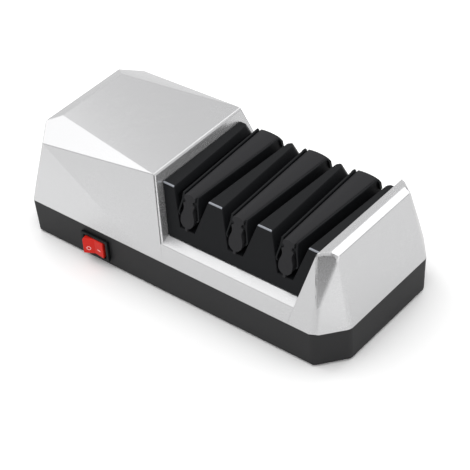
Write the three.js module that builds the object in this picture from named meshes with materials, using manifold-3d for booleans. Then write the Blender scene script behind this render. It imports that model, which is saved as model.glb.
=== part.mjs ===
// An electric knife sharpener: a faceted cover over a motor, with three stages of knife guides in a recess.
// Millimetres. X runs along the machine from the motor end to the end wall, Y runs to the back, Z is up.
// The origin is on the floor, under the middle of the base. Heights below are above the base's lower edge.

import * as THREE from 'three';
import { ConvexGeometry } from 'three/addons/geometries/ConvexGeometry.js';
import { mergeVertices } from 'three/addons/utils/BufferGeometryUtils.js';
import Module from 'manifold-3d';

// Case outline: straight faces, with a chamfer at each of the four corners
const faceLength = 220;
const cornerRun = 14;
const cornerDepth = 17.2;
const caseDepth = 110.8;
const baseHeight = 23.7;
const baseDraft = 0.8;
const wall = 2.5;
const floorThickness = 2.5;

// Clearances
const seamGap = 0.3;
const fitGap = 0.3;
const overrun = 1;

// Lip of the base inside the cover
const lipInset = 1.3;
const lipHeight = 3;

// Hood: corners of its facets
const hoodTopHeight = 75.8;
const hoodTopStart = -102.6;
const hoodTopStartHalf = 27.5;
const hoodTopEnd = -15.6;
const shoulderStart = -102.2;
const shoulderHalf = 47.8;
const shoulderHeight = 66.9;
const noseStart = -111.2;
const noseHalf = 34.1;
const noseHeight = 72.5;
const creaseFoot = -20;
const hoodFaceLeanShare = 0.27;
const frontLeanShare = 0.2706;
const edgeChamfer = 1;

// Sill in front of and behind the guides
const sillHeight = 37.8;
const sillDrop = 2.5;
const sillLedge = 3.9;

// End wall
const endWallHeight = 71.9;
const endWallStart = 104;
const endFaceLeanShare = 0.27;
const endRimStart = 109.4;
const endRimHalf = 36.4;
const endBevelStart = 112.7;
const endBevelHalf = 36;
const endBevelHeight = 70.4;
const endFacetFoot = 109.5;
const endFacetFootHeight = 34;

// Guide block
const blockTop = 69.3;
const blockSetBack = 6.2;
const blockWall = 2.4;
const blockWallTop = 64;
const recessGap = 0.4;
const stagePitch = 36.5;
const stageShift = 0.37;
const notchTopWidth = 29.3;
const notchFloorWidth = 11;
const notchFloor = 46;
const skirtReach = 3.8;
const rearCornerRadius = 2.8;
const slitHalfWidth = 5.5;
const slitHalfLength = 14;
const lugReach = 1.5;
const lugThickness = 1;
const lugLength = 9;
const lugTravelShares = [0.18, 0.5, 0.82];

// Guide bodies: half widths as shares of the half width, heights as shares of the height of the body
const guideHalfWidth = 5.7;
const guideTop = 69.3;
const guideFoot = 48.2;
const guideOverhang = 1.2;
const guideProfileShares = [
  [0, 1], [0.45, 0.987], [0.8, 0.965], [0.95, 0.945], [0.97, 0.92], [0.97, 0.69],
  [0.83, 0.61], [0.79, 0.54], [0.84, 0.46], [0.95, 0.37], [1, 0.3], [0.98, 0.2], [0.86, 0.11], [0.6, 0.04], [0.34, 0],
];
const stemHalfWidth = 1;
const tongueHalfLength = 2.5;
const tonguePlace = 35.5;
const tongueReach = 5;

// Spring leaves beside each guide body; each drop is measured from the level before it
const leafPivotDrop = 4.7;
const leafPivotInset = 0.4;
const leafBeadRadius = 1;
const leafGrooveRadius = 1.3;
const leafRootGap = 0.35;
const leafRootThickness = 1.4;
const leafTopDrop = 0.2;
const leafTopChamfer = 0.3;
const leafRootDrop = 1;
const leafThickness = 1;
const leafWaistDrop = 2.6;
const leafWaistOut = 0.5;
const leafContactDrop = 5.6;
const leafTipDrop = 1.6;
const leafTipInset = 1;
const leafSetBack = 1;
const leafFlangeReach = 1.5;
const leafFlangeLength = 1.6;
const leafFlangeDrop = 3.1;

// Drive line
const axisHeight = 26;
const shaftRadius = 2.5;
const runningGap = 0.25;
const driveRoomGap = 1;
const bushRadius = 5;
const bushFlangeRadius = 6.4;
const bushFlange = 1.2;
const standThickness = 6;
const standHalfWidth = 9;
const holdDownHalfWidth = 3;
const holdDownTop = 46;
const couplingRadius = 6;
const couplingLength = 14;
const collarLength = 2.7;
const collarRadius = 5;
const spacerRadius = 4;

// Abrasive wheels
const wheelRadius = 21.5;
const wheelRimInner = 2.2;
const wheelRimOuter = 4.2;
const wheelFaceOuter = 5;
const wheelFaceRadius = 8;
const wheelHubRadius = 6.5;
const wheelHubEnd = 10;
const wheelWebEnd = 7.5;
const wheelCupRadius = 4.6;

// Wheel springs
const springWireRadius = 0.4;
const springMeanRadius = 3.9;
const springTurns = 5.5;
const springSteps = 8;
const springSides = 5;

// Motor
const motorRadius = 21;
const motorLength = 57;
const motorFront = -37;
const canThickness = 1.2;
const frontPlateThickness = 1.5;
const motorBossRadius = 8.75;
const motorBossLength = 4.5;
const endCapThickness = 8;
const endCapLip = 4;
const magnetThickness = 4.6;
const magnetLength = 38;
const magnetSpreadDegrees = 130;
const armatureRadius = 14;
const armatureLength = 30;
const windingRadius = 11.5;
const windingLength = 5;
const commutatorRadius = 5.5;
const commutatorLength = 5;
const motorScrewPlace = 14.5;
const motorScrewRadius = 1.9;
const motorScrewLength = 7;
const motorScrewHeadRadius = 3.6;
const motorScrewHeadLength = 2.6;

// Motor bracket and cradle
const bracketThickness = 2;
const bracketHalfWidth = 21;
const bracketTop = 46;
const bracketFootLength = 11;
const bracketFootHeight = 6.5;
const pegRadius = 2.4;
const pegPlace = 15;
const pegReach = 3;
const bossRadius = 4.6;
const cradleThickness = 3;
const cradleHalfWidth = 18;
const cradleTop = 14;
const cradleInset = 8;

// Cover screws
const screwStart = -98;
const screwEnd = 100;
const screwHalf = 45.5;
const screwRadius = 1.5;
const screwHeadRadius = 3.2;
const screwHeadLength = 2.4;
const screwHeadDepth = 8;
const screwTip = 40;
const coverBossTop = 52;
const ribThickness = 2.4;

// Feet
const footRadius = 6.5;
const footStand = 1.2;
const footSeatDepth = 1.2;
const footStart = -98;
const footEnd = 100;
const footHalf = 28;

// Floor vents under the motor
const ventCount = 7;
const ventWidth = 2.4;
const ventPitch = 5;
const ventHalfLength = 13;
const ventStart = -80;

// Rocker switch in the front wall
const switchX = -57.5;
const switchZ = 12;
const bezelWidth = 21.5;
const bezelHeight = 15.5;
const bezelThickness = 1.8;
const pocketWidth = 17.8;
const pocketHeight = 12.2;
const pocketDepth = 8;
const housingWidth = 19.2;
const housingHeight = 13.6;
const housingDepth = 18;
const rockerWidth = 16.2;
const rockerHeight = 11.6;
const rockerTiltDegrees = 11;
const rockerFront = 1.7;
const rockerEndFront = 3.8;
const rockerBack = 3;
const rockerPivotDepth = 0.4;
const axleRadius = 1.4;
const axleReach = 0.8;
const terminalWidth = 4.8;
const terminalThickness = 0.8;
const terminalReach = 8;
const terminalPlace = 4.75;

// Power inlet in the rear wall
const inletX = -79;
const inletZ = 11.5;
const inletFlangeWidth = 25;
const inletFlangeHeight = 14;
const inletFlangeThickness = 2.4;
const inletBodyWidth = 20;
const inletBodyHeight = 11.6;
const inletBodyDepth = 19;
const inletSocketWidth = 15;
const inletSocketHeight = 8.6;
const inletSocketDepth = 13;
const inletPinRadius = 1.2;
const inletPinPlace = 4.3;
const inletPinSetBack = 2;
const inletPinTail = 4;

// Power board behind the motor
const boardStart = -66;
const boardEnd = -16;
const boardY = 31;
const boardThickness = 1.6;
const boardBottom = 6;
const boardTop = 46;
const boardPostSize = 6;
const boardPostTop = 18;
const boardGrip = 3;
const rectifierLength = 19;
const rectifierHeight = 15;
const rectifierThickness = 4;
const rectifierX = -50;
const rectifierZ = 30;
const capacitorRadius = 5;
const capacitorLength = 9;
const capacitorX = -28;
const capacitorZ = 32;

// Leads
const leadRadius = 0.9;
const leadSides = 8;
const leadSteps = 14;

// Facets of round pieces
const fineSides = 36;
const roundSides = 28;
const smallSides = 16;

const halfDepth = caseDepth / 2;
const halfFace = faceLength / 2;
const sideHalf = halfDepth - cornerDepth;
const halfLength = halfFace + cornerRun;
const coverBottom = baseHeight + seamGap;
const leafTop = guideTop - leafTopDrop;
const leafPivotHeight = guideTop - leafPivotDrop;
const leafFlangeBottom = leafPivotHeight - leafFlangeDrop;
const leafRootBottom = leafPivotHeight - leafRootDrop;
const leafWaistHeight = leafRootBottom - leafWaistDrop;
const leafContactHeight = leafWaistHeight - leafContactDrop;
const leafTipHeight = leafContactHeight - leafTipDrop;
const notchDepth = blockTop - notchFloor;
const skirtBottom = sillHeight - skirtReach;
const flankLean = (notchTopWidth - notchFloorWidth) / 2 / notchDepth;

const frontHalfAt = (z) => halfDepth - frontLeanShare * (z - baseHeight);
const blockHalfAt = (z) => frontHalfAt(z) - blockSetBack;
const hoodFaceAt = (z) => hoodTopEnd + hoodFaceLeanShare * (hoodTopHeight - z);
const endFaceAt = (z) => endWallStart - endFaceLeanShare * (endWallHeight - z);
const flankAt = (z) => notchTopWidth / 2 - flankLean * (blockTop - z);

const stageMiddle = (hoodFaceAt(blockTop) + endFaceAt(blockTop)) / 2 + stageShift;
const stages = [stageMiddle - stagePitch, stageMiddle, stageMiddle + stagePitch];
const bushLength = standThickness + 2 * (fitGap + bushFlange);
const collarInner = wheelHubEnd + fitGap;
const bushInner = collarInner + collarLength + fitGap;
const leftStand = stages[0] - bushInner - bushLength / 2;
const rightStand = stages[2] + bushInner + bushLength / 2;
const couplingEnd = leftStand - bushLength / 2 - overrun;
const couplingStart = couplingEnd - couplingLength;
const couplingMiddle = (couplingStart + couplingEnd) / 2;

const wasm = await Module();
wasm.setup();

// Turns a closed geometry into a solid, with its faces pointing out.
function toSolid(geometry) {
  const bare = geometry.clone();
  for (const name of Object.keys(bare.attributes)) {
    if (name !== 'position') bare.deleteAttribute(name);
  }
  const merged = mergeVertices(bare);
  const place = merged.attributes.position.array;
  const index = Uint32Array.from(merged.index.array);
  let volume = 0;
  const corner = [new THREE.Vector3(), new THREE.Vector3(), new THREE.Vector3()];
  for (let i = 0; i < index.length; i += 3) {
    corner.forEach((point, k) => point.fromArray(place, 3 * index[i + k]));
    volume += corner[0].dot(corner[1].cross(corner[2]));
  }
  if (volume < 0) {
    for (let i = 0; i < index.length; i += 3) {
      [index[i], index[i + 1]] = [index[i + 1], index[i]];
    }
  }
  const mesh = new wasm.Mesh({
    numProp: 3,
    vertProperties: Float32Array.from(place),
    triVerts: index,
  });
  return new wasm.Manifold(mesh);
}

// Turns a solid back into a geometry with flat faces.
function toGeometry(solid) {
  const mesh = solid.getMesh();
  const geometry = new THREE.BufferGeometry();
  geometry.setAttribute('position', new THREE.BufferAttribute(mesh.vertProperties, mesh.numProp));
  geometry.setIndex(new THREE.BufferAttribute(mesh.triVerts, 1));
  geometry.computeVertexNormals();
  return geometry;
}

const join = (...solids) => solids.reduce((whole, piece) => whole.add(piece));
const cut = (body, ...tools) => tools.reduce((whole, tool) => whole.subtract(tool), body);
const common = (first, second) => first.intersect(second);

// Block between two corners.
function box(x0, x1, y0, y1, z0, z1) {
  const geometry = new THREE.BoxGeometry(x1 - x0, y1 - y0, z1 - z0);
  geometry.translate((x0 + x1) / 2, (y0 + y1) / 2, (z0 + z1) / 2);
  return toSolid(geometry);
}

// Convex solid around points given as [x, y, z].
function hull(points) {
  return toSolid(new ConvexGeometry(points.map((p) => new THREE.Vector3(...p))));
}

// The same points on both sides of the middle plane.
const bothSides = (points) => points.flatMap(([x, y, z]) => [[x, -y, z], [x, y, z]]);

// Moves a geometry built along its own axis so that the axis lies along x, y or z.
function lay(geometry, axis) {
  if (axis === 'x') geometry.rotateZ(-Math.PI / 2);
  if (axis === 'z') geometry.rotateX(Math.PI / 2);
  return geometry;
}

// Round rod along an axis, from one place to another, through the point [x, y, z].
function rod(axis, radius, from, to, [x, y, z], sides = smallSides) {
  const geometry = lay(new THREE.CylinderGeometry(radius, radius, to - from, sides), axis);
  const middle = (from + to) / 2;
  geometry.translate(axis === 'x' ? middle : x, axis === 'y' ? middle : y, axis === 'z' ? middle : z);
  return toSolid(geometry);
}

// Turned piece round the X axis at the height of the drive line; profile points are [radius, x].
function turned(profile, sides = roundSides) {
  const closed = [...profile, profile[0]].map(([r, x]) => new THREE.Vector2(r, x));
  const geometry = lay(new THREE.LatheGeometry(closed, sides), 'x');
  geometry.translate(0, 0, axisHeight);
  return toSolid(geometry);
}

// Straight tube section with a bore, round the drive line.
function sleeve(outer, inner, from, to, sides = smallSides) {
  return turned([[inner, from], [outer, from], [outer, to], [inner, to]], sides);
}

// Prism of an outline: [x, z] points run along y, [y, z] points run along x, [x, y] points run along z.
function prism(outline, axis, from, to) {
  const points = outline.map(([a, b]) => (axis === 'y' ? new THREE.Vector2(b, a) : new THREE.Vector2(a, b)));
  const geometry = new THREE.ExtrudeGeometry(new THREE.Shape(points), { depth: to - from, bevelEnabled: false });
  geometry.translate(0, 0, from);
  const turn = new THREE.Matrix4();
  if (axis === 'x') turn.makeBasis(vector(0, 1, 0), vector(0, 0, 1), vector(1, 0, 0));
  if (axis === 'y') turn.makeBasis(vector(0, 0, 1), vector(1, 0, 0), vector(0, 1, 0));
  return toSolid(geometry.applyMatrix4(turn));
}

function vector(x, y, z) {
  return new THREE.Vector3(x, y, z);
}

// Stadium outline: a rectangle with round ends, centred on [x, z].
function stadium(width, height, [x, z], steps = smallSides / 2) {
  const points = [];
  const reach = (width - height) / 2;
  for (const side of [1, -1]) {
    for (let i = 0; i <= steps; i += 1) {
      const angle = side * (Math.PI / 2) * (1 - (2 * i) / steps);
      points.push([x + side * (reach + (height / 2) * Math.cos(angle)), z + (height / 2) * Math.sin(angle)]);
    }
  }
  return points;
}

// Tube along a smooth path of [x, y, z] points.
function tube(path, radius, sides, steps) {
  const curve = new THREE.CatmullRomCurve3(path.map((p) => vector(...p)));
  return sweep(curve, radius, sides, steps);
}

function sweep(curve, radius, sides, steps) {
  const section = new THREE.Shape();
  section.setFromPoints(Array.from({ length: sides }, (_, i) => {
    const angle = (2 * Math.PI * i) / sides;
    return new THREE.Vector2(radius * Math.cos(angle), radius * Math.sin(angle));
  }));
  return toSolid(new THREE.ExtrudeGeometry(section, { steps, extrudePath: curve, bevelEnabled: false }));
}

// Helix round the drive line.
class Coil extends THREE.Curve {
  constructor(radius, from, to, turns) {
    super();
    Object.assign(this, { radius, from, to, turns });
  }

  getPoint(t, target = vector(0, 0, 0)) {
    const angle = 2 * Math.PI * this.turns * t;
    return target.set(
      this.from + (this.to - this.from) * t,
      this.radius * Math.cos(angle),
      axisHeight + this.radius * Math.sin(angle),
    );
  }
}

const materials = {
  silver: { color: '#cfd0d2', roughness: 0.34, metalness: 0.75 },
  darkPlastic: { color: '#333435', roughness: 0.55, metalness: 0 },
  blackPlastic: { color: '#1d1f22', roughness: 0.5, metalness: 0 },
  redPlastic: { color: '#d8232a', roughness: 0.35, metalness: 0 },
  rubber: { color: '#222222', roughness: 0.9, metalness: 0 },
  steel: { color: '#b9bcc0', roughness: 0.3, metalness: 1 },
  zincSteel: { color: '#a7a9a8', roughness: 0.4, metalness: 1 },
  bronze: { color: '#9c7440', roughness: 0.45, metalness: 1 },
  brass: { color: '#c8a24b', roughness: 0.35, metalness: 1 },
  magnet: { color: '#3b3a39', roughness: 0.8, metalness: 0.2 },
  abrasive: { color: '#8d8578', roughness: 0.95, metalness: 0 },
  board: { color: '#2f6b3a', roughness: 0.6, metalness: 0 },
  component: { color: '#26272a', roughness: 0.5, metalness: 0 },
  film: { color: '#b5482a', roughness: 0.5, metalness: 0 },
  leadBrown: { color: '#6a4228', roughness: 0.6, metalness: 0 },
  leadBlue: { color: '#2c5fa8', roughness: 0.6, metalness: 0 },
  leadRed: { color: '#b0262b', roughness: 0.6, metalness: 0 },
  leadBlack: { color: '#1c1c1c', roughness: 0.6, metalness: 0 },
};

// Everything that stands on the feet; heights inside it are above the base's lower edge.
const machine = new THREE.Group();
machine.position.z = footStand;

function add(name, solid, look) {
  const mesh = new THREE.Mesh(toGeometry(solid), new THREE.MeshStandardMaterial(materials[look]));
  mesh.name = name;
  machine.add(mesh);
  return mesh;
}

// Corners of the case outline, moved in by an inset, at one height.
function rim(inset, z) {
  return bothSides([
    [-(halfFace - inset), halfDepth - inset, z],
    [halfFace - inset, halfDepth - inset, z],
    [-(halfLength - inset), sideHalf - inset, z],
    [halfLength - inset, sideHalf - inset, z],
  ]);
}

const lipRise = frontLeanShare * lipHeight;

// Solid inside a leaning ring at the seam.
function lipSolid(inset, extra) {
  const lower = rim(inset + frontLeanShare * -overrun, baseHeight - overrun);
  const upper = rim(inset + lipRise + frontLeanShare * extra, baseHeight + lipHeight + extra);
  return hull([...lower, ...upper]);
}

const screwPlaces = [
  [screwStart, -screwHalf],
  [screwStart, screwHalf],
  [screwEnd, -screwHalf],
  [screwEnd, screwHalf],
];
const footPlaces = [
  [footStart, -footHalf],
  [footStart, footHalf],
  [footEnd, -footHalf],
  [footEnd, footHalf],
];

const bracketFace = motorFront + fitGap;
const bracketFootStart = bracketFace + bracketThickness;
const pegX = bracketFootStart + bracketFootLength / 2;

// Lower housing with its posts, stands, cradle and openings
function makeBase() {
  const shell = cut(
    hull([...rim(baseDraft, 0), ...rim(0, baseHeight)]),
    hull([...rim(baseDraft + wall, floorThickness), ...rim(wall, baseHeight + overrun)]),
  );
  const lip = common(
    cut(lipSolid(lipInset, 0), lipSolid(wall, overrun)),
    box(-faceLength, faceLength, -caseDepth, caseDepth, baseHeight - overrun, hoodTopHeight),
  );
  const bosses = [];
  const bores = [];
  for (const [x, y] of screwPlaces) {
    const side = Math.sign(y);
    bosses.push(rod('z', bossRadius, 0, baseHeight, [x, y, 0]));
    const ends = [y, side * (halfDepth - wall / 2 - baseDraft)].sort((a, b) => a - b);
    bosses.push(box(x - ribThickness / 2, x + ribThickness / 2, ends[0], ends[1], floorThickness / 2, baseHeight));
    bores.push(rod('z', screwHeadRadius + fitGap, -overrun, screwHeadDepth, [x, y, 0]));
    bores.push(rod('z', screwRadius + fitGap, 0, baseHeight + overrun, [x, y, 0]));
  }
  for (const [x, y] of footPlaces) {
    bores.push(rod('z', footRadius + fitGap, -overrun, footSeatDepth, [x, y, 0]));
  }
  for (let i = 0; i < ventCount; i += 1) {
    const x = ventStart + i * ventPitch;
    bores.push(box(x, x + ventWidth, -ventHalfLength, ventHalfLength, -overrun, floorThickness + overrun));
  }
  const stands = [leftStand, rightStand].map((x) => cut(
    box(x - standThickness / 2, x + standThickness / 2, -standHalfWidth, standHalfWidth, 0, axisHeight),
    rod('x', bushRadius + fitGap, x - standThickness, x + standThickness, [0, 0, axisHeight]),
  ));
  const cradleX = motorFront - motorLength + cradleInset;
  const cradle = cut(
    box(cradleX, cradleX + cradleThickness, -cradleHalfWidth, cradleHalfWidth, 0, cradleTop),
    rod('x', motorRadius + fitGap, cradleX - overrun, cradleX + cradleThickness + overrun, [0, 0, axisHeight], fineSides),
  );
  const pegs = [-pegPlace, pegPlace].flatMap((y) => [
    rod('z', bossRadius, 0, bracketFootHeight - fitGap, [pegX, y, 0]),
    rod('z', pegRadius, 0, bracketFootHeight + bracketThickness + pegReach - bracketThickness / 2, [pegX, y, 0]),
  ]);
  const boardSlot = box(
    boardStart - fitGap,
    boardEnd + fitGap,
    boardY - fitGap,
    boardY + boardThickness + fitGap,
    boardBottom - fitGap,
    boardTop,
  );
  const postMiddle = boardY + boardThickness / 2;
  const posts = [boardStart, boardEnd].map((x) => {
    const outward = Math.sign(x - (boardStart + boardEnd) / 2);
    const span = [x - outward * boardGrip, x + outward * (boardPostSize - boardGrip)].sort((a, b) => a - b);
    return cut(
      box(span[0], span[1], postMiddle - boardPostSize / 2, postMiddle + boardPostSize / 2, 0, boardPostTop),
      boardSlot,
    );
  });
  const switchHole = box(
    switchX - housingWidth / 2 - fitGap,
    switchX + housingWidth / 2 + fitGap,
    -caseDepth,
    -halfDepth + wall + baseDraft + overrun,
    switchZ - housingHeight / 2 - fitGap,
    switchZ + housingHeight / 2 + fitGap,
  );
  const inletHole = box(
    inletX - inletBodyWidth / 2 - fitGap,
    inletX + inletBodyWidth / 2 + fitGap,
    halfDepth - wall - baseDraft - overrun,
    caseDepth,
    inletZ - inletBodyHeight / 2 - fitGap,
    inletZ + inletBodyHeight / 2 + fitGap,
  );
  const body = join(shell, lip, ...bosses, ...stands, cradle, ...pegs, ...posts);
  return cut(body, ...bores, switchHole, inletHole);
}

// Corners of the hood, moved in by an inset; the lowest ones go down to a given height.
function hoodCorners(inset, bottom) {
  const back = bothSides([
    [-(halfFace - inset), halfDepth - inset, bottom],
    [-(halfLength - inset), sideHalf - inset, bottom],
    [noseStart + inset, noseHalf - inset, noseHeight - inset],
    [shoulderStart + inset, shoulderHalf - inset, shoulderHeight - inset],
    [hoodTopStart + inset, hoodTopStartHalf - inset, hoodTopHeight - inset],
  ]);
  const edge = bothSides([
    [hoodTopEnd - edgeChamfer - inset, frontHalfAt(hoodTopHeight) - inset, hoodTopHeight - inset],
    [creaseFoot, halfDepth - inset, bottom],
  ]);
  const chamfered = hoodTopHeight - edgeChamfer;
  const foot = bothSides([
    [hoodFaceAt(chamfered) - inset, frontHalfAt(chamfered) - edgeChamfer - inset, chamfered - inset],
    [hoodFaceAt(bottom) - edgeChamfer - inset, halfDepth - inset, bottom],
    [hoodFaceAt(bottom) - inset, halfDepth - edgeChamfer - inset, bottom],
  ]);
  const inside = bothSides([
    [(hoodTopStart + hoodTopEnd) / 2, sideHalf / 2, bottom],
    [(hoodTopStart + hoodTopEnd) / 2, sideHalf / 2, shoulderHeight - inset],
  ]);
  return { main: [...back, ...edge], face: [...edge, ...foot, ...inside] };
}

// Section of the body under the recess, as [y, z] points.
function sillSection(inset, bottom) {
  const edge = sillHeight - sillDrop - inset;
  const top = sillHeight - inset;
  const half = [
    [halfDepth - inset, bottom],
    [frontHalfAt(sillHeight - sillDrop) - inset, edge],
    [blockHalfAt(sillHeight) - inset, top],
  ];
  return [...half, ...half.map(([y, z]) => [-y, z]).reverse()];
}

// Corners of the end wall, moved in by an inset.
function endCorners(inset, bottom) {
  const facet = [endFacetFoot, frontHalfAt(endFacetFootHeight), endFacetFootHeight];
  return bothSides([
    [endWallStart + inset, frontHalfAt(endWallHeight) - inset, endWallHeight - inset],
    [endRimStart - inset, endRimHalf - inset, endWallHeight - inset],
    [endBevelStart - inset, endBevelHalf - inset, endBevelHeight - inset],
    [endFaceAt(bottom) + inset, halfDepth - inset, bottom],
    [halfFace - inset, halfDepth - inset, bottom],
    [halfLength - inset, sideHalf - inset, bottom],
    ...(inset === 0 ? [facet] : []),
  ]);
}

function coverBody(inset, bottom) {
  const hood = hoodCorners(inset, bottom);
  return join(
    hull(hood.main),
    hull(hood.face),
    prism(sillSection(inset, bottom), 'x', hoodTopEnd, endWallStart),
    hull(endCorners(inset, bottom)),
  );
}

const openingStart = hoodFaceAt(sillHeight) + sillLedge;
const openingEnd = endFaceAt(sillHeight) - sillLedge;
const openingHalf = blockHalfAt(sillHeight) - sillLedge + lugReach / 2;

// Room along the drive line for the hubs, collars and bushes.
function hubRoom() {
  const [start, end] = [leftStand - bushLength / 2 - overrun, rightStand + bushLength / 2 + overrun];
  return rod('x', wheelHubRadius + driveRoomGap, start, end, [0, 0, axisHeight], roundSides);
}

// Room for the wheels below the floors of the notches.
function wheelRoom() {
  const reach = wheelFaceOuter + driveRoomGap;
  const [start, end] = [stages[0] - reach, stages[2] + reach];
  return common(
    rod('x', wheelRadius + driveRoomGap, start, end, [0, 0, axisHeight], fineSides),
    box(start, end, -halfDepth, halfDepth, 0, notchFloor - blockWall),
  );
}

// Upper housing: hood, sill and end wall in one moulding
function makeCover() {
  const outer = coverBody(0, coverBottom);
  const shell = cut(
    outer,
    coverBody(wall, coverBottom - overrun),
    lipSolid(lipInset - fitGap, fitGap),
    box(openingStart, openingEnd, -openingHalf, openingHalf, coverBottom, sillHeight + overrun),
    hubRoom(),
  );
  const bosses = screwPlaces.map(([x, y]) => rod('z', bossRadius - fitGap, coverBottom, coverBossTop, [x, y, 0]));
  const holdDowns = [leftStand, rightStand].map((x) => box(
    x - standThickness / 2,
    x + standThickness / 2,
    -holdDownHalfWidth,
    holdDownHalfWidth,
    axisHeight + bushRadius + fitGap,
    holdDownTop,
  ));
  const bores = screwPlaces.map(([x, y]) => (
    rod('z', screwRadius + fitGap, coverBottom - overrun, screwTip + overrun, [x, y, 0])
  ));
  const extras = [...bosses, ...holdDowns].map((piece) => common(piece, outer));
  return cut(join(shell, ...extras), ...bores);
}

// Corners of the guide block at one height, moved in by an inset.
function blockCorners(z, inset) {
  return bothSides([
    [hoodFaceAt(z) + recessGap + inset, blockHalfAt(z) - inset, z],
    [endFaceAt(z) - recessGap - inset, blockHalfAt(z) - inset, z],
  ]);
}

const notchReach = caseDepth;
const blockFoot = sillHeight + fitGap;

// Part of a notch's rear mouth between two stations, given as [distance from the rear plane, widening].
function mouthPart(x, stations) {
  return hull(stations.flatMap(([depth, extra]) => [notchFloor, blockTop + overrun].flatMap((z) => (
    [-1, 1].map((side) => [x + side * (flankAt(z) + extra), blockHalfAt(z) - depth, z])
  ))));
}

// Rounded corners at the rear mouth of a notch, in two steps of 45 degrees
function notchMouth(x) {
  const r = rearCornerRadius;
  const middle = r * (1 - Math.SQRT1_2);
  return [
    mouthPart(x, [[2 * r - middle, -middle], [middle, middle]]),
    mouthPart(x, [[r, -middle], [middle, middle], [0, r], [-overrun, r]]),
  ];
}

// Outline of a notch as [x, z] points.
function notchOutline(x) {
  const top = blockTop + overrun;
  return [
    [x - flankAt(top), top],
    [x - flankAt(notchFloor), notchFloor],
    [x + flankAt(notchFloor), notchFloor],
    [x + flankAt(top), top],
  ];
}

// Guide block: four walls with three notches between them, hollow from below
function makeBlock() {
  const ceiling = notchFloor - blockWall;
  const skirt = [openingStart + fitGap, openingEnd - fitGap, openingHalf - fitGap];
  const lugs = lugTravelShares.flatMap((share) => {
    const x = skirt[0] + share * (skirt[1] - skirt[0]);
    const top = skirtBottom + lugThickness;
    const reach = skirt[2] + lugReach;
    return [box(x - lugLength / 2, x + lugLength / 2, -reach, reach, skirtBottom, top)];
  });
  const body = join(
    hull([...blockCorners(blockTop, 0), ...blockCorners(blockFoot, 0)]),
    box(skirt[0], skirt[1], -skirt[2], skirt[2], skirtBottom, blockFoot + overrun),
    ...lugs,
  );
  const cavity = box(
    skirt[0] + blockWall,
    skirt[1] - blockWall,
    -(skirt[2] - blockWall),
    skirt[2] - blockWall,
    skirtBottom - overrun,
    ceiling,
  );
  const edges = [
    (z) => hoodFaceAt(z) + recessGap,
    ...stages.flatMap((x) => [(z) => x - flankAt(z), (z) => x + flankAt(z)]),
    (z) => endFaceAt(z) - recessGap,
  ];
  const hollows = [0, 1, 2, 3].map((i) => {
    const [low, high] = [edges[2 * i], edges[2 * i + 1]];
    const start = ceiling - overrun;
    return hull([start, blockWallTop].flatMap((z) => bothSides([
      [Math.max(low(z) + blockWall, skirt[0] + blockWall), Math.min(blockHalfAt(z), skirt[2]) - blockWall, z],
      [Math.min(high(z) - blockWall, skirt[1] - blockWall), Math.min(blockHalfAt(z), skirt[2]) - blockWall, z],
    ])));
  });
  const notches = stages.map((x) => prism(notchOutline(x), 'y', -notchReach, notchReach));
  const slits = stages.map((x) => box(
    x - slitHalfWidth,
    x + slitHalfWidth,
    -slitHalfLength,
    slitHalfLength,
    ceiling - overrun,
    notchFloor + overrun,
  ));
  const sockets = stages.flatMap((x) => [-tonguePlace, tonguePlace].map((y) => box(
    x - stemHalfWidth - fitGap,
    x + stemHalfWidth + fitGap,
    y - tongueHalfLength - fitGap,
    y + tongueHalfLength + fitGap,
    ceiling - overrun,
    notchFloor + overrun,
  )));
  const mouths = stages.flatMap(notchMouth);
  const room = join(cavity, hubRoom(), wheelRoom());
  return cut(body, room, ...hollows, ...notches, ...mouths, ...slits, ...sockets);
}

// Space between the leaning end planes of the guide bodies and their leaves.
function endPlanes(x, reach) {
  return hull([skirtBottom, guideTop + overrun].flatMap((z) => bothSides([
    [x - stagePitch / 2, blockHalfAt(z) + reach, z],
    [x + stagePitch / 2, blockHalfAt(z) + reach, z],
  ])));
}

// Guide body: shaped rib on a thin stem, with a groove on each side for its leaf
function makeGuide(x) {
  const right = guideProfileShares.map(([a, b]) => [a * guideHalfWidth, guideFoot + b * (guideTop - guideFoot)]);
  const left = right.slice(1).reverse().map(([a, z]) => [-a, z]);
  const outline = [...right, ...left].map(([a, z]) => [x + a, z]);
  const rib = prism(outline, 'y', -halfDepth, halfDepth);
  const stem = box(
    x - stemHalfWidth,
    x + stemHalfWidth,
    -halfDepth,
    halfDepth,
    notchFloor + fitGap,
    guideFoot + overrun,
  );
  const trimmed = common(join(rib, stem), endPlanes(x, guideOverhang));
  const tongues = [-tonguePlace, tonguePlace].map((y) => box(
    x - stemHalfWidth,
    x + stemHalfWidth,
    y - tongueHalfLength,
    y + tongueHalfLength,
    guideFoot - tongueReach,
    guideFoot,
  ));
  const grooves = [-1, 1].map((side) => rod(
    'y',
    leafGrooveRadius,
    -caseDepth,
    caseDepth,
    [x + side * (guideHalfWidth - leafPivotInset), 0, leafPivotHeight],
  ));
  return cut(join(trimmed, ...tongues), ...grooves);
}

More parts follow.
